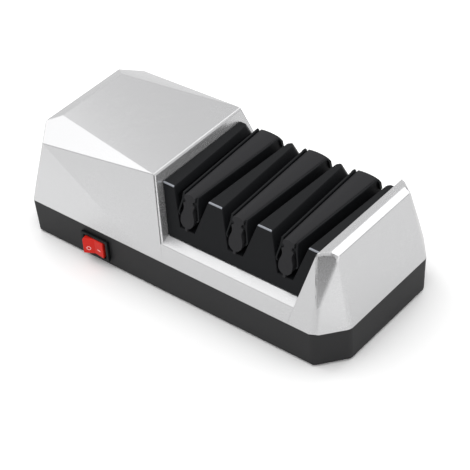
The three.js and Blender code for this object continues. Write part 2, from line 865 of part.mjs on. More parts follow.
// Spring leaf: a strip that bows out to the flank, hung by a bead in the body's groove, flanged at the back
function makeLeaf(x, side) {
  const inner = guideHalfWidth + leafRootGap;
  const root = inner + leafRootThickness;
  const contact = flankAt(leafContactHeight) - fitGap;
  const tip = contact - leafTipInset;
  const waist = root + leafWaistOut;
  const outline = [
    [root - leafTopChamfer, leafTop],
    [root, leafTop - leafTopChamfer],
    [root, leafPivotHeight],
    [waist, leafWaistHeight],
    [contact, leafContactHeight],
    [tip, leafTipHeight],
    [tip - leafThickness, leafTipHeight],
    [contact - leafThickness, leafContactHeight],
    [waist - leafThickness, leafWaistHeight],
    [inner, leafRootBottom],
    [inner, leafTop - leafTopChamfer],
    [inner + leafTopChamfer, leafTop],
  ].map(([a, z]) => [x + side * a, z]);
  const strip = prism(outline, 'y', -halfDepth, halfDepth);
  const pivot = x + side * (guideHalfWidth - leafPivotInset);
  const bead = rod('y', leafBeadRadius, -halfDepth, halfDepth, [pivot, 0, leafPivotHeight]);
  const ends = [pivot, x + side * (inner + leafThickness / 2)].sort((a, b) => a - b);
  const neck = box(
    ends[0],
    ends[1],
    -halfDepth,
    halfDepth,
    leafPivotHeight - leafThickness / 2,
    leafPivotHeight + leafThickness / 2,
  );
  const flangeTop = leafTop - leafTopChamfer;
  const flange = hull([
    [root - leafThickness, leafFlangeBottom],
    [root + leafFlangeReach, leafFlangeBottom],
    [root + leafFlangeReach, flangeTop - leafFlangeReach],
    [root, flangeTop],
    [root - leafThickness, flangeTop],
  ].flatMap(([a, z]) => [0, leafFlangeLength].map((depth) => (
    [x + side * a, blockHalfAt(z) + guideOverhang - leafSetBack - depth, z]
  ))));
  return join(common(join(strip, bead, neck), endPlanes(x, guideOverhang - leafSetBack)), flange);
}

// Abrasive wheel: a rim with a slightly coned face, on a hub with a cup for the spring
function makeWheel(x, side) {
  const bore = shaftRadius + runningGap;
  const profile = [
    [wheelCupRadius, wheelRimInner],
    [wheelRadius, wheelRimInner],
    [wheelRadius, wheelRimOuter],
    [wheelFaceRadius, wheelFaceOuter],
    [wheelHubRadius, wheelFaceOuter],
    [wheelHubRadius, wheelHubEnd],
    [bore, wheelHubEnd],
    [bore, wheelWebEnd],
    [wheelCupRadius, wheelWebEnd],
  ];
  return turned(profile.map(([r, a]) => [r, x + side * a]));
}

// Shortest distance between the wire of two neighbouring turns, measured on points of the coil.
function leastGap(coil) {
  const points = coil.getPoints(springSteps * springTurns);
  let least = Infinity;
  points.forEach((p, i) => {
    points.slice(i + springSteps / 2).forEach((q) => {
      least = Math.min(least, p.distanceTo(q) - 2 * springWireRadius);
    });
  });
  return least;
}

function makeSpring(x) {
  const reach = wheelWebEnd - fitGap - springWireRadius;
  const coil = new Coil(springMeanRadius, x - reach, x + reach, springTurns);
  console.log(`wheel spring: least gap to itself ${leastGap(coil).toFixed(2)} mm`);
  return sweep(coil, springWireRadius, springSides, springSteps * springTurns);
}

function makeBush(x) {
  const half = bushLength / 2;
  const bore = shaftRadius + runningGap;
  return turned([
    [bore, x - half],
    [bushFlangeRadius, x - half],
    [bushFlangeRadius, x - half + bushFlange],
    [bushRadius, x - half + bushFlange],
    [bushRadius, x + half - bushFlange],
    [bushFlangeRadius, x + half - bushFlange],
    [bushFlangeRadius, x + half],
    [bore, x + half],
  ], smallSides);
}

const motorBack = motorFront - motorLength;
const canInner = motorRadius - canThickness;

function makeCan() {
  const bore = shaftRadius + runningGap;
  const can = turned([
    [motorRadius, motorBack],
    [motorRadius, motorFront],
    [motorBossRadius, motorFront],
    [motorBossRadius, motorFront + motorBossLength],
    [bore, motorFront + motorBossLength],
    [bore, motorFront - frontPlateThickness],
    [canInner, motorFront - frontPlateThickness],
    [canInner, motorBack],
  ], fineSides);
  const holes = [-motorScrewPlace, motorScrewPlace].map((y) => rod(
    'x',
    motorScrewRadius + fitGap,
    motorFront - frontPlateThickness - overrun,
    motorFront + overrun,
    [0, y, axisHeight],
  ));
  return cut(can, ...holes);
}

// End cap: a stepped disc with a pocket for the shaft end
function makeEndCap() {
  const seat = canInner - fitGap;
  const back = motorBack - endCapThickness;
  const face = motorBack - fitGap;
  const cap = turned([
    [0, back],
    [motorRadius, back],
    [motorRadius, face],
    [seat, face],
    [seat, motorBack + endCapLip],
    [0, motorBack + endCapLip],
  ], fineSides);
  const pocket = rod(
    'x',
    shaftRadius + runningGap,
    motorBack - endCapThickness / 2,
    motorBack + endCapLip + overrun,
    [0, 0, axisHeight],
  );
  return cut(cap, pocket);
}

// Arc magnet inside the can, above or below the armature
function makeMagnet(side) {
  const outer = canInner - fitGap;
  const inner = outer - magnetThickness;
  const half = THREE.MathUtils.degToRad(magnetSpreadDegrees) / 2;
  const steps = smallSides / 2;
  const arc = (radius, flip) => Array.from({ length: steps + 1 }, (_, i) => {
    const angle = flip * half * (1 - (2 * i) / steps);
    return [radius * Math.sin(angle), axisHeight + side * radius * Math.cos(angle)];
  });
  const middle = (motorBack + endCapLip + motorFront - frontPlateThickness) / 2;
  return prism([...arc(outer, 1), ...arc(inner, -1)], 'x', middle - magnetLength / 2, middle + magnetLength / 2);
}

// Armature: core, end windings and commutator on the motor shaft
function makeArmature() {
  const middle = (motorBack + endCapLip + motorFront - frontPlateThickness) / 2;
  const coreStart = middle - armatureLength / 2;
  const coreEnd = middle + armatureLength / 2;
  const shaftBack = motorBack - endCapThickness / 2 + fitGap;
  return turned([
    [0, shaftBack],
    [shaftRadius, shaftBack],
    [shaftRadius, coreStart - windingLength - commutatorLength],
    [commutatorRadius, coreStart - windingLength - commutatorLength],
    [commutatorRadius, coreStart - windingLength],
    [windingRadius, coreStart - windingLength],
    [windingRadius, coreStart],
    [armatureRadius, coreStart],
    [armatureRadius, coreEnd],
    [windingRadius, coreEnd],
    [windingRadius, coreEnd + windingLength],
    [shaftRadius, coreEnd + windingLength],
    [shaftRadius, couplingMiddle - fitGap],
    [0, couplingMiddle - fitGap],
  ]);
}

// Angle bracket: a plate on the motor's face, and a foot on two pegs of the base
function makeBracket() {
  const plate = box(
    bracketFace,
    bracketFace + bracketThickness,
    -bracketHalfWidth,
    bracketHalfWidth,
    bracketFootHeight,
    bracketTop,
  );
  const foot = box(
    bracketFace,
    bracketFootStart + bracketFootLength,
    -bracketHalfWidth,
    bracketHalfWidth,
    bracketFootHeight,
    bracketFootHeight + bracketThickness,
  );
  const holes = [
    rod('x', motorBossRadius + fitGap, bracketFace - overrun, bracketFootStart + overrun, [0, 0, axisHeight], roundSides),
    ...[-motorScrewPlace, motorScrewPlace].map((y) => (
      rod('x', motorScrewRadius + fitGap, bracketFace - overrun, bracketFootStart + overrun, [0, y, axisHeight])
    )),
    ...[-pegPlace, pegPlace].map((y) => (
      rod('z', pegRadius + fitGap, 0, bracketFootHeight + bracketThickness + overrun, [pegX, y, 0])
    )),
  ];
  return cut(join(plate, foot), ...holes);
}

function makeMotorScrew(y) {
  const seat = bracketFootStart + fitGap;
  return join(
    rod('x', motorScrewHeadRadius, seat, seat + motorScrewHeadLength, [0, y, axisHeight]),
    rod('x', motorScrewRadius, seat - motorScrewLength, seat + motorScrewHeadLength / 2, [0, y, axisHeight]),
  );
}

function makeCoverScrew([x, y]) {
  const seat = screwHeadDepth - fitGap;
  return join(
    rod('z', screwHeadRadius, seat - screwHeadLength, seat, [x, y, 0]),
    rod('z', screwRadius, seat - screwHeadLength / 2, screwTip, [x, y, 0]),
  );
}

function makeFoot([x, y]) {
  return rod('z', footRadius, -footStand, footSeatDepth - fitGap, [x, y, 0], roundSides);
}

const switchFace = -halfDepth - fitGap;
const pocketFloor = switchFace + pocketDepth;
const pivotY = switchFace + rockerPivotDepth;

// Switch housing: bezel outside the wall, body behind it, pocket and axle holes for the rocker
function makeSwitchHousing() {
  const bezel = box(
    switchX - bezelWidth / 2,
    switchX + bezelWidth / 2,
    switchFace - bezelThickness,
    switchFace,
    switchZ - bezelHeight / 2,
    switchZ + bezelHeight / 2,
  );
  const body = box(
    switchX - housingWidth / 2,
    switchX + housingWidth / 2,
    switchFace - bezelThickness / 2,
    switchFace + housingDepth,
    switchZ - housingHeight / 2,
    switchZ + housingHeight / 2,
  );
  const pocket = box(
    switchX - pocketWidth / 2,
    switchX + pocketWidth / 2,
    switchFace - bezelThickness - overrun,
    pocketFloor,
    switchZ - pocketHeight / 2,
    switchZ + pocketHeight / 2,
  );
  const reach = rockerHeight / 2 + axleReach + fitGap;
  const axleHole = rod('z', axleRadius + fitGap, switchZ - reach, switchZ + reach, [switchX, pivotY, 0]);
  const slots = [-1, 1].map((side) => terminalSolid(side, fitGap));
  return cut(join(bezel, body), pocket, axleHole, ...slots);
}

// Blade terminal that passes through the back of the switch.
function terminalSolid(side, clearance) {
  const x = switchX + side * terminalPlace;
  const back = switchFace + housingDepth + terminalReach;
  return box(
    x - terminalThickness / 2 - clearance,
    x + terminalThickness / 2 + clearance,
    pocketFloor + fitGap + overrun - clearance,
    back + clearance,
    switchZ - terminalWidth / 2 - clearance,
    switchZ + terminalWidth / 2 + clearance,
  );
}

// Rocker: two faces that meet in a shallow valley, on an axle along Z; it is shown tipped to its ON stop
function makeRocker() {
  const half = rockerWidth / 2;
  const outline = [
    [-half, -rockerEndFront],
    [0, -rockerFront],
    [half, -rockerEndFront],
    [half, rockerBack],
    [-half, rockerBack],
  ];
  const rocker = join(
    prism(outline, 'z', -rockerHeight / 2, rockerHeight / 2),
    rod('z', axleRadius, -rockerHeight / 2 - axleReach, rockerHeight / 2 + axleReach, [0, 0, 0]),
  );
  return rocker;
}

// Inlet: flange outside the rear wall, body behind it, round-ended socket with two pins
function makeInletBody() {
  const face = halfDepth + fitGap;
  const flange = prism(
    stadium(inletFlangeWidth, inletFlangeHeight, [inletX, inletZ]),
    'y',
    face,
    face + inletFlangeThickness,
  );
  const body = box(
    inletX - inletBodyWidth / 2,
    inletX + inletBodyWidth / 2,
    face - inletBodyDepth,
    face + inletFlangeThickness / 2,
    inletZ - inletBodyHeight / 2,
    inletZ + inletBodyHeight / 2,
  );
  const socket = prism(
    stadium(inletSocketWidth, inletSocketHeight, [inletX, inletZ]),
    'y',
    face + inletFlangeThickness - inletSocketDepth,
    face + inletFlangeThickness + overrun,
  );
  const pinHoles = [-inletPinPlace, inletPinPlace].map((offset) => (
    rod('y', inletPinRadius + fitGap, face - inletBodyDepth - overrun, face, [inletX + offset, 0, inletZ])
  ));
  return cut(join(flange, body), socket, ...pinHoles);
}

const inletTail = halfDepth + fitGap - inletBodyDepth - inletPinTail;

function makeInletPin(offset) {
  const tip = halfDepth + inletFlangeThickness - inletPinSetBack;
  return rod('y', inletPinRadius, inletTail, tip, [inletX + offset, 0, inletZ]);
}

function makeBoard() {
  return box(boardStart, boardEnd, boardY, boardY + boardThickness, boardBottom, boardTop);
}

function makeRectifier() {
  const face = boardY + boardThickness + fitGap;
  return box(
    rectifierX - rectifierLength / 2,
    rectifierX + rectifierLength / 2,
    face,
    face + rectifierThickness,
    rectifierZ - rectifierHeight / 2,
    rectifierZ + rectifierHeight / 2,
  );
}

function makeCapacitor() {
  const face = boardY + boardThickness + fitGap;
  return rod('y', capacitorRadius, face, face + capacitorLength, [capacitorX, 0, capacitorZ]);
}

const lead = (path) => tube(path, leadRadius, leadSides, leadSteps);
const clear = motorRadius + 4 * leadRadius;
const diagonal = clear * Math.SQRT1_2;
const terminalEnd = switchFace + housingDepth + terminalReach + fitGap;
const boardFace = boardY - fitGap;
const overMotor = (x) => [
  [x, -clear, axisHeight],
  [x, -diagonal, axisHeight + diagonal],
  [x, 0, axisHeight + clear],
  [x, diagonal, axisHeight + diagonal],
];
const leadPlace = 4 * leadRadius;
const motorTap = motorBack - endCapThickness / 2;

// Lead from the side of the motor's end cap to the board, at a height beside the motor's axis.
const motorLead = (z, boardX) => [
  [motorTap, motorRadius + fitGap, z],
  [motorTap, motorRadius + 2 * leadRadius, z],
  [motorTap + leadPlace, clear + leadRadius, z],
  [boardX - leadPlace, clear + leadRadius, z],
  [boardX, boardFace - 2 * leadRadius, z],
  [boardX, boardFace, z],
];

// Leads: inlet to switch, switch to board, inlet to board, and two from the board to the motor
const leadPaths = {
  lead_inlet_to_switch: [
    [inletX - inletPinPlace, inletTail - fitGap, inletZ],
    [inletX - inletPinPlace, inletTail - leadPlace, inletZ],
    ...overMotor(inletX - inletPinPlace).reverse(),
    [switchX - terminalPlace - leadPlace, -clear, switchZ + leadPlace],
    [switchX - terminalPlace, terminalEnd + 2 * leadRadius, switchZ],
    [switchX - terminalPlace, terminalEnd, switchZ],
  ],
  lead_switch_to_board: [
    [switchX + terminalPlace, terminalEnd, switchZ],
    [switchX + terminalPlace, terminalEnd + 2 * leadRadius, switchZ],
    ...overMotor(switchX + terminalPlace),
    [switchX + terminalPlace, boardFace - 2 * leadRadius, boardTop - 6 * leadRadius],
    [switchX + terminalPlace, boardFace, boardTop - 6 * leadRadius],
  ],
  lead_inlet_to_board: [
    [inletX + inletPinPlace, inletTail - fitGap, inletZ],
    [inletX + inletPinPlace, inletTail - 3 * leadRadius, inletZ],
    [(inletX + boardStart) / 2, clear, boardBottom + 9 * leadRadius],
    [boardStart + 6 * leadRadius, boardFace - 3 * leadRadius, boardPostTop + 3 * leadRadius],
    [boardStart + 6 * leadRadius, boardFace, boardPostTop + 3 * leadRadius],
  ],
  lead_motor_plus: motorLead(axisHeight + 2 * leadRadius, boardStart + 9 * leadRadius),
  lead_motor_minus: motorLead(axisHeight + 6 * leadRadius, boardStart + 4 * leadRadius),
};

add('base_tub', makeBase(), 'darkPlastic');
add('top_cover', makeCover(), 'silver');
add('guide_block', makeBlock(), 'blackPlastic');
stages.forEach((x, i) => {
  const stage = i + 1;
  add(`guide_body_${stage}`, makeGuide(x), 'blackPlastic');
  add(`guide_leaf_${stage}_left`, makeLeaf(x, -1), 'blackPlastic');
  add(`guide_leaf_${stage}_right`, makeLeaf(x, 1), 'blackPlastic');
  add(`wheel_${stage}_left`, makeWheel(x, -1), 'abrasive');
  add(`wheel_${stage}_right`, makeWheel(x, 1), 'abrasive');
  add(`wheel_spring_${stage}`, makeSpring(x), 'steel');
});

const shaftBore = shaftRadius + runningGap;
const shaftEnd = rightStand + bushLength / 2 + overrun;
add('drive_shaft', turned([[0, couplingMiddle + fitGap], [shaftRadius, couplingMiddle + fitGap],
  [shaftRadius, shaftEnd], [0, shaftEnd]], smallSides), 'steel');
add('shaft_coupling', sleeve(couplingRadius, shaftBore, couplingStart, couplingEnd), 'zincSteel');
add('wheel_spacer_1', sleeve(spacerRadius, shaftBore, stages[0] + collarInner, stages[1] - collarInner), 'zincSteel');
add('wheel_spacer_2', sleeve(spacerRadius, shaftBore, stages[1] + collarInner, stages[2] - collarInner), 'zincSteel');
add('shaft_collar_left', sleeve(collarRadius, shaftBore, stages[0] - collarInner - collarLength,
  stages[0] - collarInner), 'zincSteel');
add('shaft_collar_right', sleeve(collarRadius, shaftBore, stages[2] + collarInner,
  stages[2] + collarInner + collarLength), 'zincSteel');
add('bearing_left', makeBush(leftStand), 'bronze');
add('bearing_right', makeBush(rightStand), 'bronze');

add('motor_can', makeCan(), 'zincSteel');
add('motor_end_cap', makeEndCap(), 'component');
add('motor_magnet_upper', makeMagnet(1), 'magnet');
add('motor_magnet_lower', makeMagnet(-1), 'magnet');
add('motor_armature', makeArmature(), 'steel');
add('motor_bracket', makeBracket(), 'zincSteel');
add('motor_screw_1', makeMotorScrew(-motorScrewPlace), 'steel');
add('motor_screw_2', makeMotorScrew(motorScrewPlace), 'steel');

add('switch_housing', makeSwitchHousing(), 'blackPlastic');
add('switch_terminal_1', terminalSolid(-1, 0), 'brass');
add('switch_terminal_2', terminalSolid(1, 0), 'brass');
const rocker = add('switch_rocker', makeRocker(), 'redPlastic');
rocker.position.set(switchX, pivotY, switchZ);
rocker.rotation.z = THREE.MathUtils.degToRad(rockerTiltDegrees);

add('inlet_body', makeInletBody(), 'blackPlastic');
add('inlet_pin_1', makeInletPin(-inletPinPlace), 'brass');
add('inlet_pin_2', makeInletPin(inletPinPlace), 'brass');
add('power_board', makeBoard(), 'board');
add('board_rectifier', makeRectifier(), 'component');
add('board_capacitor', makeCapacitor(), 'film');
add('lead_inlet_to_switch', lead(leadPaths.lead_inlet_to_switch), 'leadBrown');
add('lead_switch_to_board', lead(leadPaths.lead_switch_to_board), 'leadBrown');
add('lead_inlet_to_board', lead(leadPaths.lead_inlet_to_board), 'leadBlue');
add('lead_motor_plus', lead(leadPaths.lead_motor_plus), 'leadRed');
add('lead_motor_minus', lead(leadPaths.lead_motor_minus), 'leadBlack');

screwPlaces.forEach((place, i) => add(`cover_screw_${i + 1}`, makeCoverScrew(place), 'steel'));
footPlaces.forEach((place, i) => add(`foot_${i + 1}`, makeFoot(place), 'rubber'));

const sharpener = new THREE.Group();
sharpener.add(machine);

export default sharpener;
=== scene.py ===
"""Looks of an electric knife sharpener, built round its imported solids.

Lengths are metres in the row frame: X runs along the machine, Y to the back, Z up, and the floor is at zero.
"""

import logging
import math
from collections.abc import Callable, Iterable, Iterator
from contextlib import contextmanager
from dataclasses import dataclass
from enum import Enum

import bmesh
import bpy
from mathutils import Matrix, Vector


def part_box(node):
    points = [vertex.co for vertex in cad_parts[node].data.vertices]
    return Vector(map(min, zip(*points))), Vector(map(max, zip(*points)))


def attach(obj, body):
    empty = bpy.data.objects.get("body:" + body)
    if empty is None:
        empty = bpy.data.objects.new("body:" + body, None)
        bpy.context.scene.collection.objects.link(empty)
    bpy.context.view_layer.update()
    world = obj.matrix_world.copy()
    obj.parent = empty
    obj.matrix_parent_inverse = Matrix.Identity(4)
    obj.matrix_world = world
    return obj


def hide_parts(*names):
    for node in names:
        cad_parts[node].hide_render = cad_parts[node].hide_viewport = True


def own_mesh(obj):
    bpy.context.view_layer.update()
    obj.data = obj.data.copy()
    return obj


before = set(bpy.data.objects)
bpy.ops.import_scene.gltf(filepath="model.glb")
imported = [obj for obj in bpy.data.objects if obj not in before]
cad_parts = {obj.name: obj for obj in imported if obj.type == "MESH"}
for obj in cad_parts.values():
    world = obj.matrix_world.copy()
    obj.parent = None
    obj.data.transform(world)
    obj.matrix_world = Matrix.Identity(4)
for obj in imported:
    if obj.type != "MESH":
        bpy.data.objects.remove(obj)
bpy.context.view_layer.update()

log = logging.getLogger("sharpener")
MM = 0.001
Triple = tuple[float, float, float]
WHITE = (1.0, 1.0, 1.0, 1.0)
DRIVE_HEIGHT = 27.2 * MM

# Corners closer than this are one corner, and faces that turn by less than this are one face
MERGE_REACH = 0.004 * MM
FLAT_ANGLE = math.radians(0.4)

# An edge that turns by more than this is drawn sharp
SHARP_ANGLE = math.radians(32)

# Size of the slow wander of a finish, and the shares of wander and small detail in its colour
WANDER_SIZE = 32 * MM
WANDER_SHARE, RELIEF_SHARE = 0.7, 0.3

# How far wander and small detail stir the roughness, less the middle of both
WANDER_STIR, RELIEF_STIR, STIR_MIDDLE = 0.06, 0.12, 0.09

COAT_ROUGHNESS = 0.08

# How far the lines of a sheet mill are drawn out
ROLLED_STRETCH = 0.04


def linear(level: float) -> float:
    """Turn one sRGB level from 0 to 255 into a linear value from 0 to 1."""
    share = level / 255
    return share / 12.92 if share <= 0.04045 else ((share + 0.055) / 1.055) ** 2.4


def paint(red: float, green: float, blue: float) -> tuple[float, float, float, float]:
    """Return the linear colour of three sRGB levels."""
    return linear(red), linear(green), linear(blue), 1.0


class Field:
    """A value in a node tree; arithmetic on it adds Math nodes."""

    def __init__(self, graph: "Graph", socket: bpy.types.NodeSocket) -> None:
        """Keep the tree and the output socket that holds the value."""
        self.graph = graph
        self.socket = socket

    def _math(self, operation: str, first: "Field | float", second: "Field | float") -> "Field":
        """Return the result of one Math node."""
        return self.graph.node("ShaderNodeMath", {"operation": operation}, {0: first, 1: second})

    def __add__(self, other: "Field | float") -> "Field":
        """Return the sum."""
        return self._math("ADD", self, other)

    def __sub__(self, other: "Field | float") -> "Field":
        """Return the difference."""
        return self._math("SUBTRACT", self, other)

    def __rsub__(self, other: float) -> "Field":
        """Return a number less this value."""
        return self._math("SUBTRACT", other, self)

    def __mul__(self, other: "Field | float") -> "Field":
        """Return the product."""
        return self._math("MULTIPLY", self, other)

    def highest(self, other: "Field | float") -> "Field":
        """Return the greater of two values."""
        return self._math("MAXIMUM", self, other)

    def power(self, exponent: float) -> "Field":
        """Return this value raised to a power."""
        return self._math("POWER", self, exponent)


class Graph:
    """The node tree of one material or world."""

    def __init__(self, tree: bpy.types.NodeTree) -> None:
        """Clear the tree."""
        self.tree = tree
        tree.nodes.clear()

    def node(
        self,
        kind: str,
        settings: dict[str, object] | None = None,
        inputs: dict[int | str, object] | None = None,
        output: int | str = 0,
    ) -> Field | None:
        """Add one node.

        Args:
            kind: The node's type.
            settings: Properties set before the sockets; "stops" holds a ramp's (place, colour) pairs.
            inputs: Values or fields of its input sockets, by place or name.
            output: The output socket to return.

        Returns:
            The field at that output, or None for a node that has no output.
        """
        made = self.tree.nodes.new(kind)
        for name, value in (settings or {}).items():
            if name == "stops":
                ramp = made.color_ramp
                while len(ramp.elements) < len(value):
                    ramp.elements.new(1.0)
                for element, (place, shade) in zip(ramp.elements, value, strict=True):
                    element.position, element.color = place, shade
            else:
                setattr(made, name, value)
        for place, value in (inputs or {}).items():
            if isinstance(value, Field):
                self.tree.links.new(value.socket, made.inputs[place])
            else:
                made.inputs[place].default_value = value
        return Field(self, made.outputs[output]) if made.outputs else None

    def place(self) -> Field:
        """Return the place on the piece, in metres."""
        return self.node("ShaderNodeTexCoord", output="Object")

    def noise(self, place: Field, size: float, detail: float = 2.0) -> Field:
        """Return noise from 0 to 1 whose spots are about a size in metres."""
        return self.node(
            "ShaderNodeTexNoise", {}, {"Vector": place, "Scale": 1 / size, "Detail": detail, "Roughness": 0.55}
        )

    def axes(self, place: Field) -> tuple[Field, Field, Field]:
        """Return the three numbers of a place."""
        first = self.node("ShaderNodeSeparateXYZ", {}, {0: place})
        outputs = first.socket.node.outputs
        return first, Field(self, outputs[1]), Field(self, outputs[2])

    def blend(self, share: Field, low: object, high: object) -> Field:
        """Return a colour between two, where share goes from 0 to 1."""
        return self.node("ShaderNodeMix", {"data_type": "RGBA"}, {0: share, 6: low, 7: high}, output=2)

    def bump(self, height: Field, depth: float) -> Field:
        """Return the normal of a surface raised by a height field, up to a depth in metres."""
        return self.node("ShaderNodeBump", {}, {"Strength": 1.0, "Distance": depth, "Height": height})

    def ray(self, kind: str) -> Field:
        """Return 1 for one kind of ray, named as the Light Path node names it, and 0 for the others."""
        return self.node("ShaderNodeLightPath", output=kind)

    def surface(self, inputs: dict[int | str, object]) -> None:
        """End the tree in one shader with these inputs."""
        shader = self.node("ShaderNodeBsdfPrincipled", {}, inputs)
        self.node("ShaderNodeOutputMaterial", {}, {"Surface": shader})


class Grain(Enum):
    """How the small detail of a finish lies on it."""

    MOULDED = "fine eroded texture of a mould"
    FLAKE = "small flakes in a satin paint"
    TURNED = "rings left by a lathe, round the drive line"
    ROLLED = "lines left by a sheet mill"
    GRIT = "bonded grains"


@dataclass(frozen=True)
class Finish:
    """One surface finish.

    Attributes:
        name: The material's name.
        shade: Its colour, as sRGB levels.
        roughness: How dull it is, from 0 to 1.
        metallic: How metallic it is, from 0 to 1.
        grain: How its small detail lies.
        size: The size of that detail, in metres.
        depth: The depth of that detail, in metres.
        cloud: How far its colour wanders over some centimetres.
        coat: Weight of a clear coat.
        gloss: Level of its plain reflection, 0.5 for common plastic.
        stir: How far the small detail stirs the roughness.
    """

    name: str
    shade: Triple
    roughness: float
    metallic: float = 0.0
    grain: Grain = Grain.MOULDED
    size: float = 0.5 * MM
    depth: float = 0.012 * MM
    cloud: float = 0.04
    coat: float = 0.0
    gloss: float = 0.5
    stir: float = 1.0

    def relief(self, graph: Graph, place: Field) -> Field:
        """Return the height field of the small detail, from 0 to 1.

        Args:
            graph: The material's node tree.
            place: The place on the piece.

        Returns:
            The height field.
        """
        if self.grain is Grain.TURNED:
            x, y, z = graph.axes(place)
            radius = (y * y + (z - DRIVE_HEIGHT) * (z - DRIVE_HEIGHT)).power(0.5)
            rings = graph.node("ShaderNodeCombineXYZ", {}, {0: x, 1: radius, 2: 0.0})
            return graph.noise(rings, self.size, 3)
        if self.grain is Grain.ROLLED:
            stretch = (1.0, ROLLED_STRETCH, 1.0)
            drawn = graph.node("ShaderNodeMapping", {}, {"Vector": place, "Scale": stretch})
            return graph.noise(drawn, self.size, 3)
        if self.grain is Grain.GRIT:
            return 1 - graph.node("ShaderNodeTexVoronoi", {"feature": "F1"}, {"Vector": place, "Scale": 1 / self.size})
        return graph.noise(place, self.size, 3)

    def material(self) -> bpy.types.Material:
        """Return this finish as a material, made once.

        Returns:
            The material.
        """
        known = bpy.data.materials.get(self.name)
        if known:
            return known
        made = bpy.data.materials.new(self.name)
        made.use_nodes = True
        graph = Graph(made.node_tree)
        place = graph.place()
        wander = graph.noise(place, WANDER_SIZE, 3)
        relief = self.relief(graph, place)
        base = paint(*self.shade)
        darker = tuple(c * (1 - self.cloud) for c in base[:3]) + (1.0,)
        lighter = tuple(min(1.0, c * (1 + self.cloud)) for c in base[:3]) + (1.0,)
        tint = graph.blend(wander * WANDER_SHARE + relief * RELIEF_SHARE, darker, lighter)
        stirred = (relief * RELIEF_STIR + wander * WANDER_STIR - STIR_MIDDLE) * self.stir
        inputs = {
            "Base Color": tint,
            "Roughness": stirred + self.roughness,
            "Metallic": self.metallic,
            "Specular IOR Level": self.gloss,
            "Normal": graph.bump(relief, self.depth),
        }
        if self.coat:
            inputs["Coat Weight"] = self.coat
            inputs["Coat Roughness"] = COAT_ROUGHNESS
        graph.surface(inputs)
        return made


SILVER = Finish("satin_silver", (212, 212, 213), 0.27, 0.74, Grain.FLAKE, 0.35 * MM, 0.0006 * MM, 0.008, stir=0.2)
BASE_PLASTIC = Finish("charcoal_plastic", (43, 43, 44), 0.5, cloud=0.05, gloss=0.22)
BLOCK_PLASTIC = Finish("black_guide_plastic", (27, 28, 30), 0.48, depth=0.016 * MM, gloss=0.12)
GUIDE_PLASTIC = Finish("black_rib_plastic", (43, 43, 45), 0.55, size=0.4 * MM, depth=0.02 * MM, gloss=0.16)
SWITCH_PLASTIC = Finish("switch_frame_plastic", (17, 20, 21), 0.4, gloss=0.2)
RED_PLASTIC = Finish("red_rocker_plastic", (214, 38, 27), 0.34, size=0.8 * MM, depth=0.003 * MM, gloss=0.2)
MARK_PAINT = Finish("mark_paint", (246, 205, 205), 0.5, size=0.3 * MM, depth=0.004 * MM, gloss=0.3)
# Painted highlight: a light grey, partly metallic strip on the middle of the walls' front brows stands in for the
# lamps' highlight on those rounds
PAINTED_HIGHLIGHT_EDGE = Finish("painted_highlight_edge", (150, 153, 160), 0.35, 0.3, size=0.3 * MM, depth=0.003 * MM, gloss=0.4)
RUBBER = Finish("foot_rubber", (30, 30, 30), 0.8, size=0.6 * MM, depth=0.03 * MM, gloss=0.25)
BRIGHT_STEEL = Finish("bright_steel", (190, 192, 196), 0.28, 1.0, Grain.TURNED, 0.25 * MM, 0.003 * MM)
ZINC_STEEL = Finish("zinc_steel", (172, 174, 172), 0.42, 1.0, Grain.ROLLED, 0.5 * MM, 0.004 * MM, 0.08)
BRONZE = Finish("sintered_bronze", (160, 120, 70), 0.5, 1.0, Grain.TURNED, 0.3 * MM, 0.005 * MM, 0.08)
BRASS = Finish("brass_contact", (205, 168, 84), 0.32, 1.0, Grain.ROLLED, 0.4 * MM, 0.003 * MM)
FERRITE = Finish("magnet_ferrite", (62, 60, 58), 0.8, 0.1, Grain.GRIT, 0.7 * MM, 0.02 * MM)
WINDING = Finish("armature_copper", (168, 96, 58), 0.4, 0.8, Grain.TURNED, 0.6 * MM, 0.03 * MM, 0.1)
BOARD = Finish("circuit_board", (44, 104, 58), 0.55, size=1.2 * MM, depth=0.006 * MM, cloud=0.1)
COMPONENT = Finish("component_plastic", (38, 39, 42), 0.55)
FILM = Finish("film_capacitor", (186, 78, 44), 0.42, coat=0.3)
LEAD_BROWN = Finish("lead_brown", (108, 68, 42), 0.55)
LEAD_BLUE = Finish("lead_blue", (46, 96, 166), 0.55)
LEAD_RED = Finish("lead_red", (178, 40, 44), 0.55)
LEAD_BLACK = Finish("lead_black", (30, 30, 31), 0.55)


@dataclass(frozen=True)
class Crease:
    """An edge of a mesh, as the makers choose by it.

    Attributes:
        middle: Its middle point.
        run: Its direction.
        turn: The angle between its faces in degrees, above 0 where it stands out.
        first: Normal of one face.
        second: Normal of the other face.
    """

    middle: Vector
    run: Vector
    turn: float
    first: Vector
    second: Vector

    @classmethod
    def of(cls, edge: bmesh.types.BMEdge) -> "Crease":
        """Return what an edge with two faces looks like.

        Args:
            edge: The edge, with its faces up to date.

        Returns:
            Its crease.
        """
        a, b = (v.co for v in edge.verts)
        faces = edge.link_faces
        turn = math.degrees(edge.calc_face_angle_signed(0.0))
        return cls((a + b) / 2, (b - a).normalized(), turn, faces[0].normal.copy(), faces[1].normal.copy())

    def key(self) -> tuple[float, ...]:
        """Return the middle point to a thousandth of a millimetre, which tells creases apart."""
        return tuple(round(v, 6) for v in self.middle)


